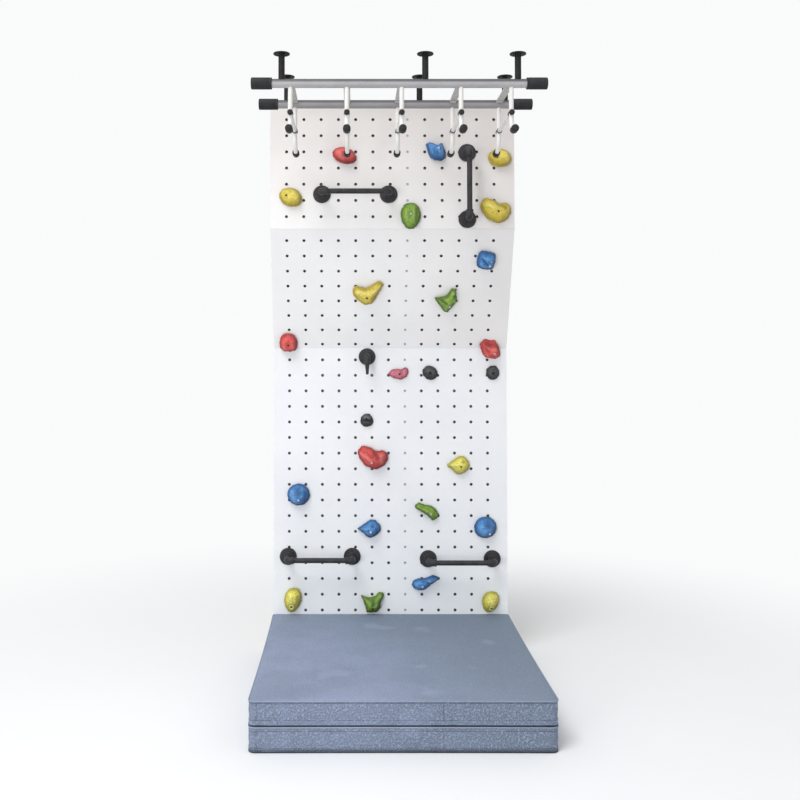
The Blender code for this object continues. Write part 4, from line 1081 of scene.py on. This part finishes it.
def sculpted_hold(name, bolts):
    """Hold from its CAD form: remeshed, rounded, worked over with strokes, drilled and given its bolt."""
    label, colour, column, row, shift, size, (bolt_x, bolt_y, kind), strokes = HOLDS[name]
    place = on_board(label, column, row, shift, FIT_GAP)
    hold = copied(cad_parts[name], name + "_cast", place.inverted())
    hold.data.materials.clear()
    clean(hold)
    box = points_of(hold.data)
    low, high = box.min(0), box.max(0)
    modify(hold, "REMESH", mode="VOXEL", voxel_size=HOLD_VOXEL)
    modify(hold, "SMOOTH", factor=0.5, iterations=ROUNDING.get(name, USUAL_ROUNDING))

    points, normals = points_of(hold.data), points_of(hold.data, "normal")
    above = ((points[:, 2] - low[2] - 0.002) / 0.006).clip(0.0, 1.0)
    rim = rim_distance(points, normals)
    reach = min(size[:2]) * 0.30
    fall = (1.0 - rim.clip(0.0, reach) / reach) ** 2
    points[:, 2] -= (points[:, 2] - low[2]) * 0.42 * fall * above
    points += normals * (lumps(points, column * 1.7 + row * 2.3) * above)[:, None]
    facing = normals[:, 2].clip(0.0, 1.0) ** 0.5 * above
    hollow, proud = worked_over(points, size, strokes, facing)
    bolt = np.array([bolt_x * size[0] / 2, bolt_y * size[1] / 2])
    if kind == "boss":
        hollow, proud = raised_boss(points, bolt, facing, hollow, proud)

    now_low, now_high = points.min(0), points.max(0)
    points = low + (points - now_low) * (high - low) / (now_high - now_low)
    top, growth = points[:, 1].max(), GROWTH.get(name, ())
    (x, y), = grown(bolt[None], top, size, *growth)
    points[:, :2] = grown(points[:, :2], top, size, *growth)
    set_points(hold.data, points)
    # Masks for the material: rise, painted shade in the hollows, painted highlight where the hold stands
    # proud, and painted shade on the rim.
    for mark, values in (("rise", (points[:, 2] - low[2]) / size[2]), ("hollow", hollow), ("proud", proud),
                         ("edge", edge_shade(points, size, rim))):
        note(hold, mark, values)

    radius, depth, bolt_kind = SEATS[kind]
    tree = BVHTree.FromObject(hold, bpy.context.evaluated_depsgraph_get())
    hit = tree.ray_cast(Vector((x, y, 0.2)), Vector((0, 0, -1)))[0]
    seat = max(0.005, (hit.z if hit else size[2] * 0.7) - depth)
    drill = solid("drill", "cylinder", vertices=24, radius=radius, depth=0.1, location=(x, y, seat + 0.05))
    whole = hold.data.copy()
    cut(hold, drill, "FAST")
    if points_of(hold.data)[:, 2].max() > points[:, 2].max() + 0.001:
        hold.data = whole
        cut(hold, drill)
    drop(drill)
    smooth(moved(hold, place), 45)
    finish_piece(hold, RESIN[colour], "wall", "hold_" + colour.replace("lemon", "yellow"), name)
    head = copied(bolts[bolt_kind], name + "_bolt", place @ Matrix.Translation((x, y, seat)))
    finish_piece(head, BOLTS[bolt_kind][2], "wall", BOLTS[bolt_kind][3])


def holds():
    bolts = {kind: socket_bolt(kind + "_bolt", *head[:2]) for kind, head in BOLTS.items()}
    for name in HOLDS:
        sculpted_hold(name, bolts)
    drop(*bolts.values())


holds()


# Grab bars and peg

def screw_head(name, radius=0.0042, height=0.0022):
    """Domed screw head with a cross in it."""
    head = turned(name, [(0.0, height), (radius * 0.55, height * 0.9), (radius * 0.9, height * 0.45),
                         (radius, 0.0), (0.0, 0.0)], 14)
    bars = [solid("bar", "cube", size=1.0, location=(0, 0, height), rotation=(0, 0, turn),
                  scale=(radius, radius * 0.22, height * 0.8)) for turn in (0.0, math.pi / 2)]
    cross = joined("cross", bars)
    cut(head, cross, use_self=True)
    drop(cross)
    return smooth(head, 35)


def screw_spots():
    """Angle and place (X, Y) of each screw in a flange."""
    for number in range(4):
        angle = TURN * (number + 0.5) / 4
        yield angle, SCREW_CIRCLE * math.cos(angle), SCREW_CIRCLE * math.sin(angle)


def pipe_flange(name, x):
    """Cast flange: a round foot with eased edges, four screw holes and a raised hub."""
    profile = [(0.0, 0.024), (0.0198, 0.024), (0.0215, 0.0222), (0.0215, 0.0095), (0.0235, 0.0078),
               (0.0418, 0.0066), (FLANGE_RADIUS, 0.0050), (FLANGE_RADIUS, FIT_GAP), (0.0, FIT_GAP)]
    foot = turned(name, profile, 48)
    drill = joined("drill", [solid("drill", "cone", vertices=20, radius1=0.0022, radius2=0.0052, depth=0.0060,
                                   location=(across, up, 0.0056)) for _, across, up in screw_spots()])
    cut(foot, drill)
    drop(drill)
    return moved(foot, Matrix.Translation((x, 0.0, 0.0)))


def pipe_elbow(name, corner, arrive, leave):
    """Cast elbow with a bead round each mouth."""
    corner, arrive, leave = Vector(corner), Vector(arrive), Vector(leave)
    bend = arc(corner, arrive, leave, BEND_RADIUS, 10)
    bead = BEAD_RADIUS / FITTING_RADIUS
    mouth = ((FITTING_REACH, bead * 0.93), (FITTING_REACH - 0.0012, bead), (FITTING_REACH - 0.0060, bead),
             (FITTING_REACH - 0.0078, 1.0))
    path = [corner + arrive * reach for reach, _ in mouth] + bend
    path += [corner + leave * reach for reach, _ in reversed(mouth)]
    scales = [s for _, s in mouth] + [1.0] * len(bend) + [s for _, s in reversed(mouth)]
    return pipe(name, path, FITTING_RADIUS, scales)


def riser(x, standoff):
    return pipe("riser", [(x, 0, 0.010), (x, 0, standoff - 0.02)], PIPE_RADIUS)


def bar_model():
    """Grab bar along X at a board's face, and its screws."""
    half, inward = BAR_SPAN / 2, (0, 0, -1)
    parts = [pipe_flange("bar", -half), pipe_flange("bar_right", half),
             pipe_elbow("elbow_left", (-half, 0, BAR_STANDOFF), inward, (1, 0, 0)),
             pipe_elbow("elbow_right", (half, 0, BAR_STANDOFF), (-1, 0, 0), inward),
             pipe("grip", [(-half + 0.02, 0, BAR_STANDOFF), (half - 0.02, 0, BAR_STANDOFF)], PIPE_RADIUS),
             riser(-half, BAR_STANDOFF), riser(half, BAR_STANDOFF)]
    return smooth(joined("bar", parts), 35), flange_screws("bar_screws", (-half, half))


def flange_screws(name, places):
    model = screw_head("screw")
    screws = []
    for x in places:
        for angle, across, up in screw_spots():
            place = Matrix.Translation((x + across, up, 0.0058))
            screws.append(copied(model, "screw", place @ Matrix.Rotation(angle * 3, 4, "Z")))
    drop(model)
    return joined(name, screws)


BARS = {
    "grab_bar_top": ("upper", 4, 1, (-0.002, 0.030), 0),
    "grab_bar_side": ("upper", 10, 2, (0.038, -0.009), 90),
    "grab_bar_low_left": ("lower", 2, 5, (-0.011, 0.033), 0),
    "grab_bar_low_right": ("lower", 10, 5, (0.027, 0.021), 0),
}


def grab_bars():
    bar, screws = bar_model()
    for name, (label, column, row, shift, turn) in BARS.items():
        place = on_board(label, column, row, shift) @ Matrix.Rotation(math.radians(turn), 4, "Z")
        finish_piece(copied(bar, name + "_pipework", place), BLACK_IRON, "wall", "black_pipe", name)
        finish_piece(copied(screws, name + "_screws", place), DARK_STEEL, "wall", "black_pipe")
    drop(bar, screws)


def hanging_peg():
    """Peg: a flange, an elbow that turns down and a tapered pin."""
    parts = [pipe_flange("peg", 0.0), riser(0, PEG_STANDOFF),
             pipe_elbow("bend", (0, 0, PEG_STANDOFF), (0, 0, -1), (0, -1, 0))]
    drop_by = (0.020, PEG_DROP - 0.012, PEG_DROP - 0.004, PEG_DROP)
    parts.append(pipe("pin", [(0, -d, PEG_STANDOFF) for d in drop_by], PIPE_RADIUS, [1.0, 0.60, 0.56, 0.40]))
    place = on_board("lower", 5, 18, (-0.025, 0.016))
    peg = smooth(moved(joined("peg_pipework", parts), place), 35)
    finish_piece(peg, BLACK_IRON, "wall", "black_pipe", "peg")
    screws = moved(flange_screws("peg_screws", (0.0,)), place)
    finish_piece(screws, DARK_STEEL, "wall", "black_pipe")


grab_bars()
hanging_peg()


# Ceiling rack

def along_x(y):
    return Matrix.Translation((0.0, y, RAIL_HEIGHT)) @ Matrix.Rotation(math.pi / 2, 4, "Y")


def middle_x(node_name):
    low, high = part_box(node_name)
    return (low.x + high.x) / 2


def rail_cutter(y):
    """Rod as thick as a rail and its gap, to cut what is saddled on the rail."""
    radius = RAIL_RADIUS + FIT_GAP
    return moved(turned("cutter", [(0.0, 0.7), (radius, 0.7), (radius, -0.7), (0.0, -0.7)], 48), along_x(y))


def rails():
    half = RAIL_HALF - 0.0053
    wall = [(RAIL_RADIUS, half), (RAIL_RADIUS, -half), (0.017, -half), (0.017, half)]
    mouth = SLEEVE_LENGTH
    groove = SLEEVE_RADIUS - 0.0006
    cup = [(0.0, mouth), (0.0205, mouth), (0.0235, mouth - 0.0008), (SLEEVE_RADIUS, mouth - 0.003),
           (SLEEVE_RADIUS, 0.010), (groove, 0.0085), (groove, 0.0070), (SLEEVE_RADIUS, 0.0055),
           (SLEEVE_RADIUS, 0.0012), (SLEEVE_RADIUS - 0.0012, 0.0), (RAIL_RADIUS + FIT_GAP, 0.0),
           (RAIL_RADIUS + FIT_GAP, mouth - 0.005), (0.0, mouth - 0.005)]
    for row, y in RAIL_ROWS:
        rail = smooth(moved(turned(f"{row}_rail_tube", wall, 48, closed=True), along_x(y)))
        finish_piece(rail, GALVANISED, "wall", "galvanised_steel", "rail_" + row)
        for side, turn in (("right", 0.0), ("left", math.pi)):
            place = along_x(y) @ Matrix.Rotation(turn, 4, "X") @ Matrix.Translation((0, 0, RAIL_HALF - mouth))
            sleeve = smooth(moved(turned(f"{row}_{side}_sleeve", cup, 40), place), 30)
            finish_piece(sleeve, RUBBER, "wall", "black_rubber", f"sleeve_{row}_{side}")


def posts():
    """Black posts with a round ceiling plate, saddled on the rails."""
    top = CEILING - RAIL_HEIGHT
    profile = [(0.0, top), (0.034, top), (0.035, top - 0.001), (0.035, top - 0.004), (0.034, top - 0.005),
               (0.0155, top - 0.005), (0.0135, top - 0.007), (0.0135, 0.0), (0.0, 0.0)]
    for row, y in RAIL_ROWS:
        cutter = rail_cutter(y)
        for side in ("left", "centre", "right"):
            name = f"post_{row}_{side}"
            place = Matrix.Translation((middle_x(name), y, RAIL_HEIGHT))
            post = moved(turned(name + "_tube", profile, 36), place)
            cut(post, cutter)
            finish_piece(smooth(post, 30), POST_IRON, "wall", "black_pipe", name)
        drop(cutter)


def quarter(radius, top, first, last, steps):
    """Points (out, up) on a quarter turn that starts downwards, between two shares of it."""
    angles = [math.pi / 2 * (first + (last - first) * i / steps) for i in range(steps + 1)]
    return [(radius * (1 - math.cos(a)), top - radius * math.sin(a)) for a in angles]


def rung_parts():
    """White legs and rung, and what is black on them: two grips, two collars and two caps."""
    drop_to, reach, radius = 0.210, 0.100, 0.065
    height = RAIL_HEIGHT - 0.125
    bend_top = radius - drop_to
    sheath = quarter(radius, bend_top, 0.86, 1.0, 4)
    grip = sheath + [(reach - back, -drop_to) for back in (0.024, 0.0226, 0.0212, 0.008, 0.004, 0.0012, 0.0)]
    grip_scales = [0.86, 0.98] + [1.0] * (len(sheath) - 2) + [1.0, 0.93, 1.0, 1.0, 0.97, 0.86, 0.72]
    leg = [(0.0, -0.0170), (0.0, bend_top), *quarter(radius, bend_top, 0.0, 1.0, 16)[1:],
           (reach - 0.006, -drop_to)]
    collar = [(0.0088, 0.0), (0.0108, 0.0), (0.0124, 0.0014), (0.0124, 0.0044), (0.0108, 0.0058),
              (0.0088, 0.0058)]
    cap = [(0.0, 0.0), (0.0088, 0.0), (0.0108, 0.0007), (0.012, 0.0022), (0.012, 0.0092), (0.0, 0.0092)]
    metal, rubber = [], []
    for y, out in ((FRONT_RAIL_Y, -1), (REAR_RAIL_Y, 1)):
        leg_line, grip_line = ([Vector((0.0, y + out * o, RAIL_HEIGHT + u)) for o, u in line]
                               for line in (leg, grip))
        metal.append(pipe("leg", leg_line, 0.010))
        rubber.append(pipe("grip", grip_line, 0.016, grip_scales, resolution=8))
        place = Matrix.Translation((0, y - out * 0.0165, height)) @ Matrix.Rotation(math.pi / 2, 4, "X")
        ring = turned("collar", collar, 24, closed=True)
        rubber.append(moved(ring, place @ Matrix.Translation((0, 0, -0.0029))))
    front, rear = FRONT_RAIL_Y - 0.020, REAR_RAIL_Y + 0.020
    metal.append(pipe("rung", [(0, front + 0.004, height), (0, rear - 0.004, height)], 0.009))
    for y, turn in ((front, -math.pi / 2), (rear, math.pi / 2)):
        place = Matrix.Translation((0, y, height)) @ Matrix.Rotation(turn, 4, "X")
        rubber.append(moved(turned("cap", cap, 24), place))
    return joined("unit", metal), joined("grips", rubber)


def hanging_rungs():
    """White legs that turn outwards into black grips, with a capped rung and its two collars between them."""
    unit, grips = rung_parts()
    for _, y in RAIL_ROWS:
        cutter = rail_cutter(y)
        cut(unit, cutter, use_self=True)
        drop(cutter)
    smooth(unit, 35)
    smooth(grips, 35)
    for number in range(1, 6):
        name = f"hanging_rung_{number}"
        place = Matrix.Translation((middle_x(name), 0, 0))
        finish_piece(copied(unit, name + "_tubes", place), WHITE_PAINT, "wall", "white_paint", name)
        finish_piece(copied(grips, name + "_grips", place), RUBBER, "wall", "black_rubber")
    drop(unit, grips)


def rail_ties():
    """Flat bars between the rails, with a hexagon bolt head under each end."""
    model = solid("tie_bolt", "cylinder", vertices=6, radius=0.0078, depth=0.0052, location=(0, 0, -0.0026))
    bevelled(model, 0.0006, 1, 40)
    for number in range(1, 6):
        name = f"rail_tie_{number}"
        low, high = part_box(name)
        tie = copied(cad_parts[name], name + "_bar")
        clean(tie)
        bevelled(tie, 0.0012, 2, 50)
        finish_piece(smooth(tie, 35), TIE_ZINC, "wall", "galvanised_steel", name)
        middle = (low + high) / 2
        heads = [copied(model, "head", Matrix.Translation((middle.x, y, low.z)))
                 for y in (low.y + 0.052, high.y - 0.052)]
        finish_piece(smooth(joined(name + "_bolts", heads), 30), TIE_ZINC, "wall", "galvanised_steel")
    drop(model)


rails()
posts()
hanging_rungs()
rail_ties()


# Landing mat

MAT_HALF = 0.6005
MAT_LOW, MAT_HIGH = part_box("mat_lower")
MAT_MIDDLE = ((MAT_LOW.x + MAT_HIGH.x) / 2, (MAT_LOW.y + MAT_HIGH.y) / 2)
LAYER_HEIGHT = 0.0975
FRONT_SEAM = 0.155
SEAM_COLUMNS = (-0.569, FRONT_SEAM, 0.569)
CLOTH_FRAMES = 20
# A point lies on an edge or a seam when it is this near to it
NEAR = 0.001


def mat_form(points):
    """Takes points of a square slab to the mat's plan: round corners, sides drawn in between them."""
    points = np.array(points, float)
    for front, radius in ((True, 0.026), (False, 0.012)):
        row = points[:, 1] < 0 if front else points[:, 1] >= 0
        flat = points[row, :2]
        inner = flat.clip(-(MAT_HALF - radius), MAT_HALF - radius)
        out = flat - inner
        length = np.linalg.norm(out, axis=1)
        reach = np.abs(out).max(axis=1)
        out *= (reach / np.maximum(length, 1e-9))[:, None]
        points[row, :2] = inner + out
    share = (points[:, :2] / MAT_HALF).clip(-1.0, 1.0)
    points[:, 0] *= 1.0 - 0.0045 / MAT_HALF * (1.0 - share[:, 1] ** 2)
    points[:, 1] *= 1.0 - 0.0030 / MAT_HALF * (1.0 - share[:, 0] ** 2)
    return points


def cut_across(piece, axis, places):
    """Cuts a form right through at each place along an axis."""
    edit(piece)
    for place in places:
        bpy.ops.mesh.select_all(action="SELECT")
        bpy.ops.mesh.bisect(plane_co=axis * place, plane_no=axis)
    leave_edit()


def slab(name, seams):
    """Square slab with close cuts at its edges and even ones between, rows of cuts at its seams."""
    height = LAYER_HEIGHT
    piece = solid(name, "cube", size=1.0, location=(0, 0, height / 2),
                  scale=(2 * MAT_HALF, 2 * MAT_HALF, height))
    close = [side * (MAT_HALF - inset) for side in (-1, 1) for inset in (0.004, 0.011, 0.021)]
    inner = MAT_HALF - 0.0285
    even = [inner * (2 * i / 66 - 1) for i in range(67)]
    away = [x for x in even if abs(x - FRONT_SEAM) > 0.009]
    cut_across(piece, Vector((1, 0, 0)), close + away + [FRONT_SEAM])
    cut_across(piece, Vector((0, 1, 0)), close + even)
    low, high = seams
    middle = [low + (height - high - low) * i / 5 for i in range(6)]
    cut_across(piece, Vector((0, 0, 1)), [low * 0.45, height - high * 0.45] + middle)
    return piece


def filled(piece, held):
    """Blows a form up with the cloth solver. The points that are held stay where they are."""
    pins = piece.vertex_groups.new(name="seams")
    pins.add([int(i) for i in np.nonzero(held)[0]], 1.0, "REPLACE")
    take(piece)
    bpy.ops.object.modifier_add(type="CLOTH")
    cloth = piece.modifiers[-1]
    for key, value in {"vertex_group_mass": pins.name, "use_pressure": True, "uniform_pressure_force": 4.0,
                       "quality": 5, "tension_stiffness": 12, "compression_stiffness": 12,
                       "shrink_min": -0.012}.items():
        setattr(cloth.settings, key, value)
    cloth.settings.effector_weights.gravity = 0.0
    cloth.point_cache.frame_start = 1
    cloth.point_cache.frame_end = CLOTH_FRAMES
    for step in range(1, CLOTH_FRAMES + 1):
        bpy.context.scene.frame_set(step)
    bpy.ops.object.modifier_apply(modifier=cloth.name)
    bpy.context.scene.frame_set(1)
    piece.vertex_groups.clear()


def swollen(piece, seams, top_cap, roof, back):
    """Fills a slab. Its edges and seams are held, and no point swells past the caps, the roof or the back."""
    height, side_cap = LAYER_HEIGHT, 0.0042
    before = points_of(piece.data)
    x, y, z = before.T
    rim = np.abs(before[:, :2]).max(1) > MAT_HALF - NEAR
    edge = rim & ((z < NEAR) | (z > height - NEAR))
    rows = rim & ((np.abs(z - seams[0]) < NEAR) | (np.abs(z - (height - seams[1])) < NEAR))
    upright = (y < -MAT_HALF + NEAR) & (np.min([np.abs(x - seam) for seam in SEAM_COLUMNS], axis=0) < 0.003)
    before = mat_form(before)
    x, y, z = before.T
    drift = 0.0016 * (np.sin(x * 9.0 + y * 4.0) + np.sin(y * 11.0 - x * 5.0 + 1.0))
    z += np.where(z > height - NEAR, drift * 0.5 * ~rim, 0.0)
    set_points(piece.data, before)
    filled(piece, edge | rows | upright)
    shift = points_of(piece.data) - before
    length = np.linalg.norm(shift, axis=1, keepdims=True)
    cap = np.where(rim, side_cap, top_cap)[:, None]
    points = before + shift * (cap * np.tanh(length / cap) / np.maximum(length, 1e-9))
    points[:, 2] = points[:, 2].clip(0.0, roof)
    points[:, 1] = points[:, 1].clip(None, back)
    set_points(piece.data, points)
    note(piece, "side", np.where(np.abs(points_of(piece.data, "normal")[:, 2]) > 0.7, 0.0, 1.0))
    modify(piece, "SUBSURF", levels=1, render_levels=1)
    take(piece)
    bpy.ops.object.shade_smooth()
    return piece


def round_line(out, height):
    """Closed line round a layer, out from its edge by a little."""
    travels = [MAT_HALF * (2 * i / 90 - 1) + MAT_HALF for i in range(90)]
    corners = ((-1, -1, 1, 0), (1, -1, 0, 1), (1, 1, -1, 0), (-1, 1, 0, -1))
    line = mat_form([(x * MAT_HALF + go_x * travel, y * MAT_HALF + go_y * travel, height)
                     for x, y, go_x, go_y in corners for travel in travels])
    spread = 1.0 + out / MAT_HALF
    return [Vector((x * spread, y * spread, height)) for x, y, _ in line]


def round_cord(name, out, height, radius, resolution):
    cord = pipe(name, round_line(out, height), radius, resolution=resolution, closed=True, caps=False)
    return smooth(cord, 60)


def upright_seam(column, low, high):
    """Stitched line up the front of a layer."""
    x, y, _ = mat_form([(column, -MAT_HALF, 0.0)])[0]
    return pipe("seam", [Vector((x, y - 0.0010, z)) for z in (low, high)], 0.0008, resolution=1)


def landing_mat():
    """Two sewn covers filled with foam, with piping round their edges and stitched seams on their sides."""
    back = FACE_Y - 0.0012 - MAT_MIDDLE[1]
    for name, base, seams, top_cap, roof in (
            ("mat_lower", 0.0, (0.019, 0.015), 0.0010, 0.0995),
            ("mat_upper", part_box("mat_upper")[0].z, (0.024, 0.009), 0.0055, 0.106)):
        low, high = seams[0], LAYER_HEIGHT - seams[1]
        place = Matrix.Translation((*MAT_MIDDLE, base))
        layer = swollen(slab(name + "_cover", seams), seams, top_cap, roof, back)
        finish_piece(moved(layer, place), COVER, name, "mat_cover", name)
        for part, level, out, radius, cloth in (("top", LAYER_HEIGHT - 0.0010, 0.0004, 0.0028, COVER_EDGE),
                                                ("foot", 0.0034, -0.0016, 0.0034, COVER_FOOT)):
            cord = round_cord(f"{name}_piping_{part}", out, level, radius, 3)
            finish_piece(moved(cord, place), cloth, name, "mat_cover")
        lines = [upright_seam(column, low, high) for column in SEAM_COLUMNS[:2]]
        upright = smooth(joined(name + "_seams_front", lines), 60)
        finish_piece(moved(upright, place), COVER_UNDER, name, "mat_cover")
        for part, level in (("top", high), ("foot", low)):
            seam = round_cord(f"{name}_seam_{part}", 0.0, level, 0.0009, 1)
            finish_piece(moved(seam, place), COVER_UNDER, name, "mat_cover")


landing_mat()


# Floor, light and camera

SHOWN_SKY = (0.955, 0.96, 0.966)


def seen_ray(nodes):
    """1 where the background is looked at, straight or in a reflection."""
    path = nodes.add("LightPath").outputs
    bounced = nodes.maths("MAXIMUM", path["Is Glossy Ray"], path["Is Transmission Ray"])
    return nodes.maths("MAXIMUM", path["Is Camera Ray"], bounced)


def floor():
    """Pale floor that fades into the shown sky."""
    ground = solid("floor", "plane", size=60.0, location=(0, 0, -0.0006))
    pale = Finish("pale floor", 0.85)
    pale.paint(Base_Color=pale.uneven((0.925, 0.928, 0.932), (0.895, 0.903, 0.912), 0.7, 0.5)[0])
    far = pale.add("VectorMath", {0: pale.place}, operation="LENGTH").outputs["Value"]
    share = pale.times(pale.eased(far, 1.0, 3.6), seen_ray(pale))
    glow = pale.add("Emission", {"Color": SHOWN_SKY, "Strength": 1.0}).outputs[0]
    blend = pale.add("MixShader", {0: share, 1: pale.shader.outputs[0], 2: glow}).outputs[0]
    pale.feed(pale.tree.nodes["Material Output"], {0: blend})
    ground.data.materials.append(pale.material)


def sky():
    """Soft light from all round, and the shown sky where it is looked at."""
    world = bpy.data.worlds.new("studio")
    bpy.context.scene.world = world
    world.use_nodes = True
    world.node_tree.nodes.clear()
    nodes = Nodes(world.node_tree)
    soft = nodes.add("Background", {"Color": (0.96, 0.98, 1.0), "Strength": 0.61}).outputs[0]
    shown = nodes.add("Background", {"Color": SHOWN_SKY, "Strength": 1.0}).outputs[0]
    blend = nodes.add("MixShader", {0: seen_ray(nodes), 1: soft, 2: shown}).outputs[0]
    nodes.add("OutputWorld", {0: blend})


def lamps():
    for name, place, aim, size, power in (
            ("key", (-3.9, -6.2, 1.3), (0.0, 0.3, 1.2), 2.0, 132.0),
            ("fill", (3.2, -6.0, 0.8), (0.0, 0.3, 1.0), 3.0, 20.0),
            ("top", (-2.6, -4.2, 8.0), (0.0, -0.8, 0.0), 4.0, 400.0)):
        lamp = bpy.data.lights.new(name, "AREA")
        lamp.size = size
        lamp.energy = power
        holder = link(name, lamp)
        holder.location = place
        holder.rotation_euler = (Vector(aim) - Vector(place)).to_track_quat("-Z", "Y").to_euler()


def camera():
    """Camera of the photograph, as fitted to the rows of holes."""
    view = bpy.data.cameras.new("front view")
    view.lens = 42.75
    view.shift_x = 0.061
    view.shift_y = -0.104
    holder = link("camera", view)
    holder.location = (-0.202, FACE_Y - 4.914, 1.556)
    holder.rotation_euler = (math.radians(91.94), 0.0, 0.0)
    bpy.context.scene.camera = holder
    bpy.context.scene.view_settings.view_transform = "Standard"


floor()
sky()
lamps()
camera()
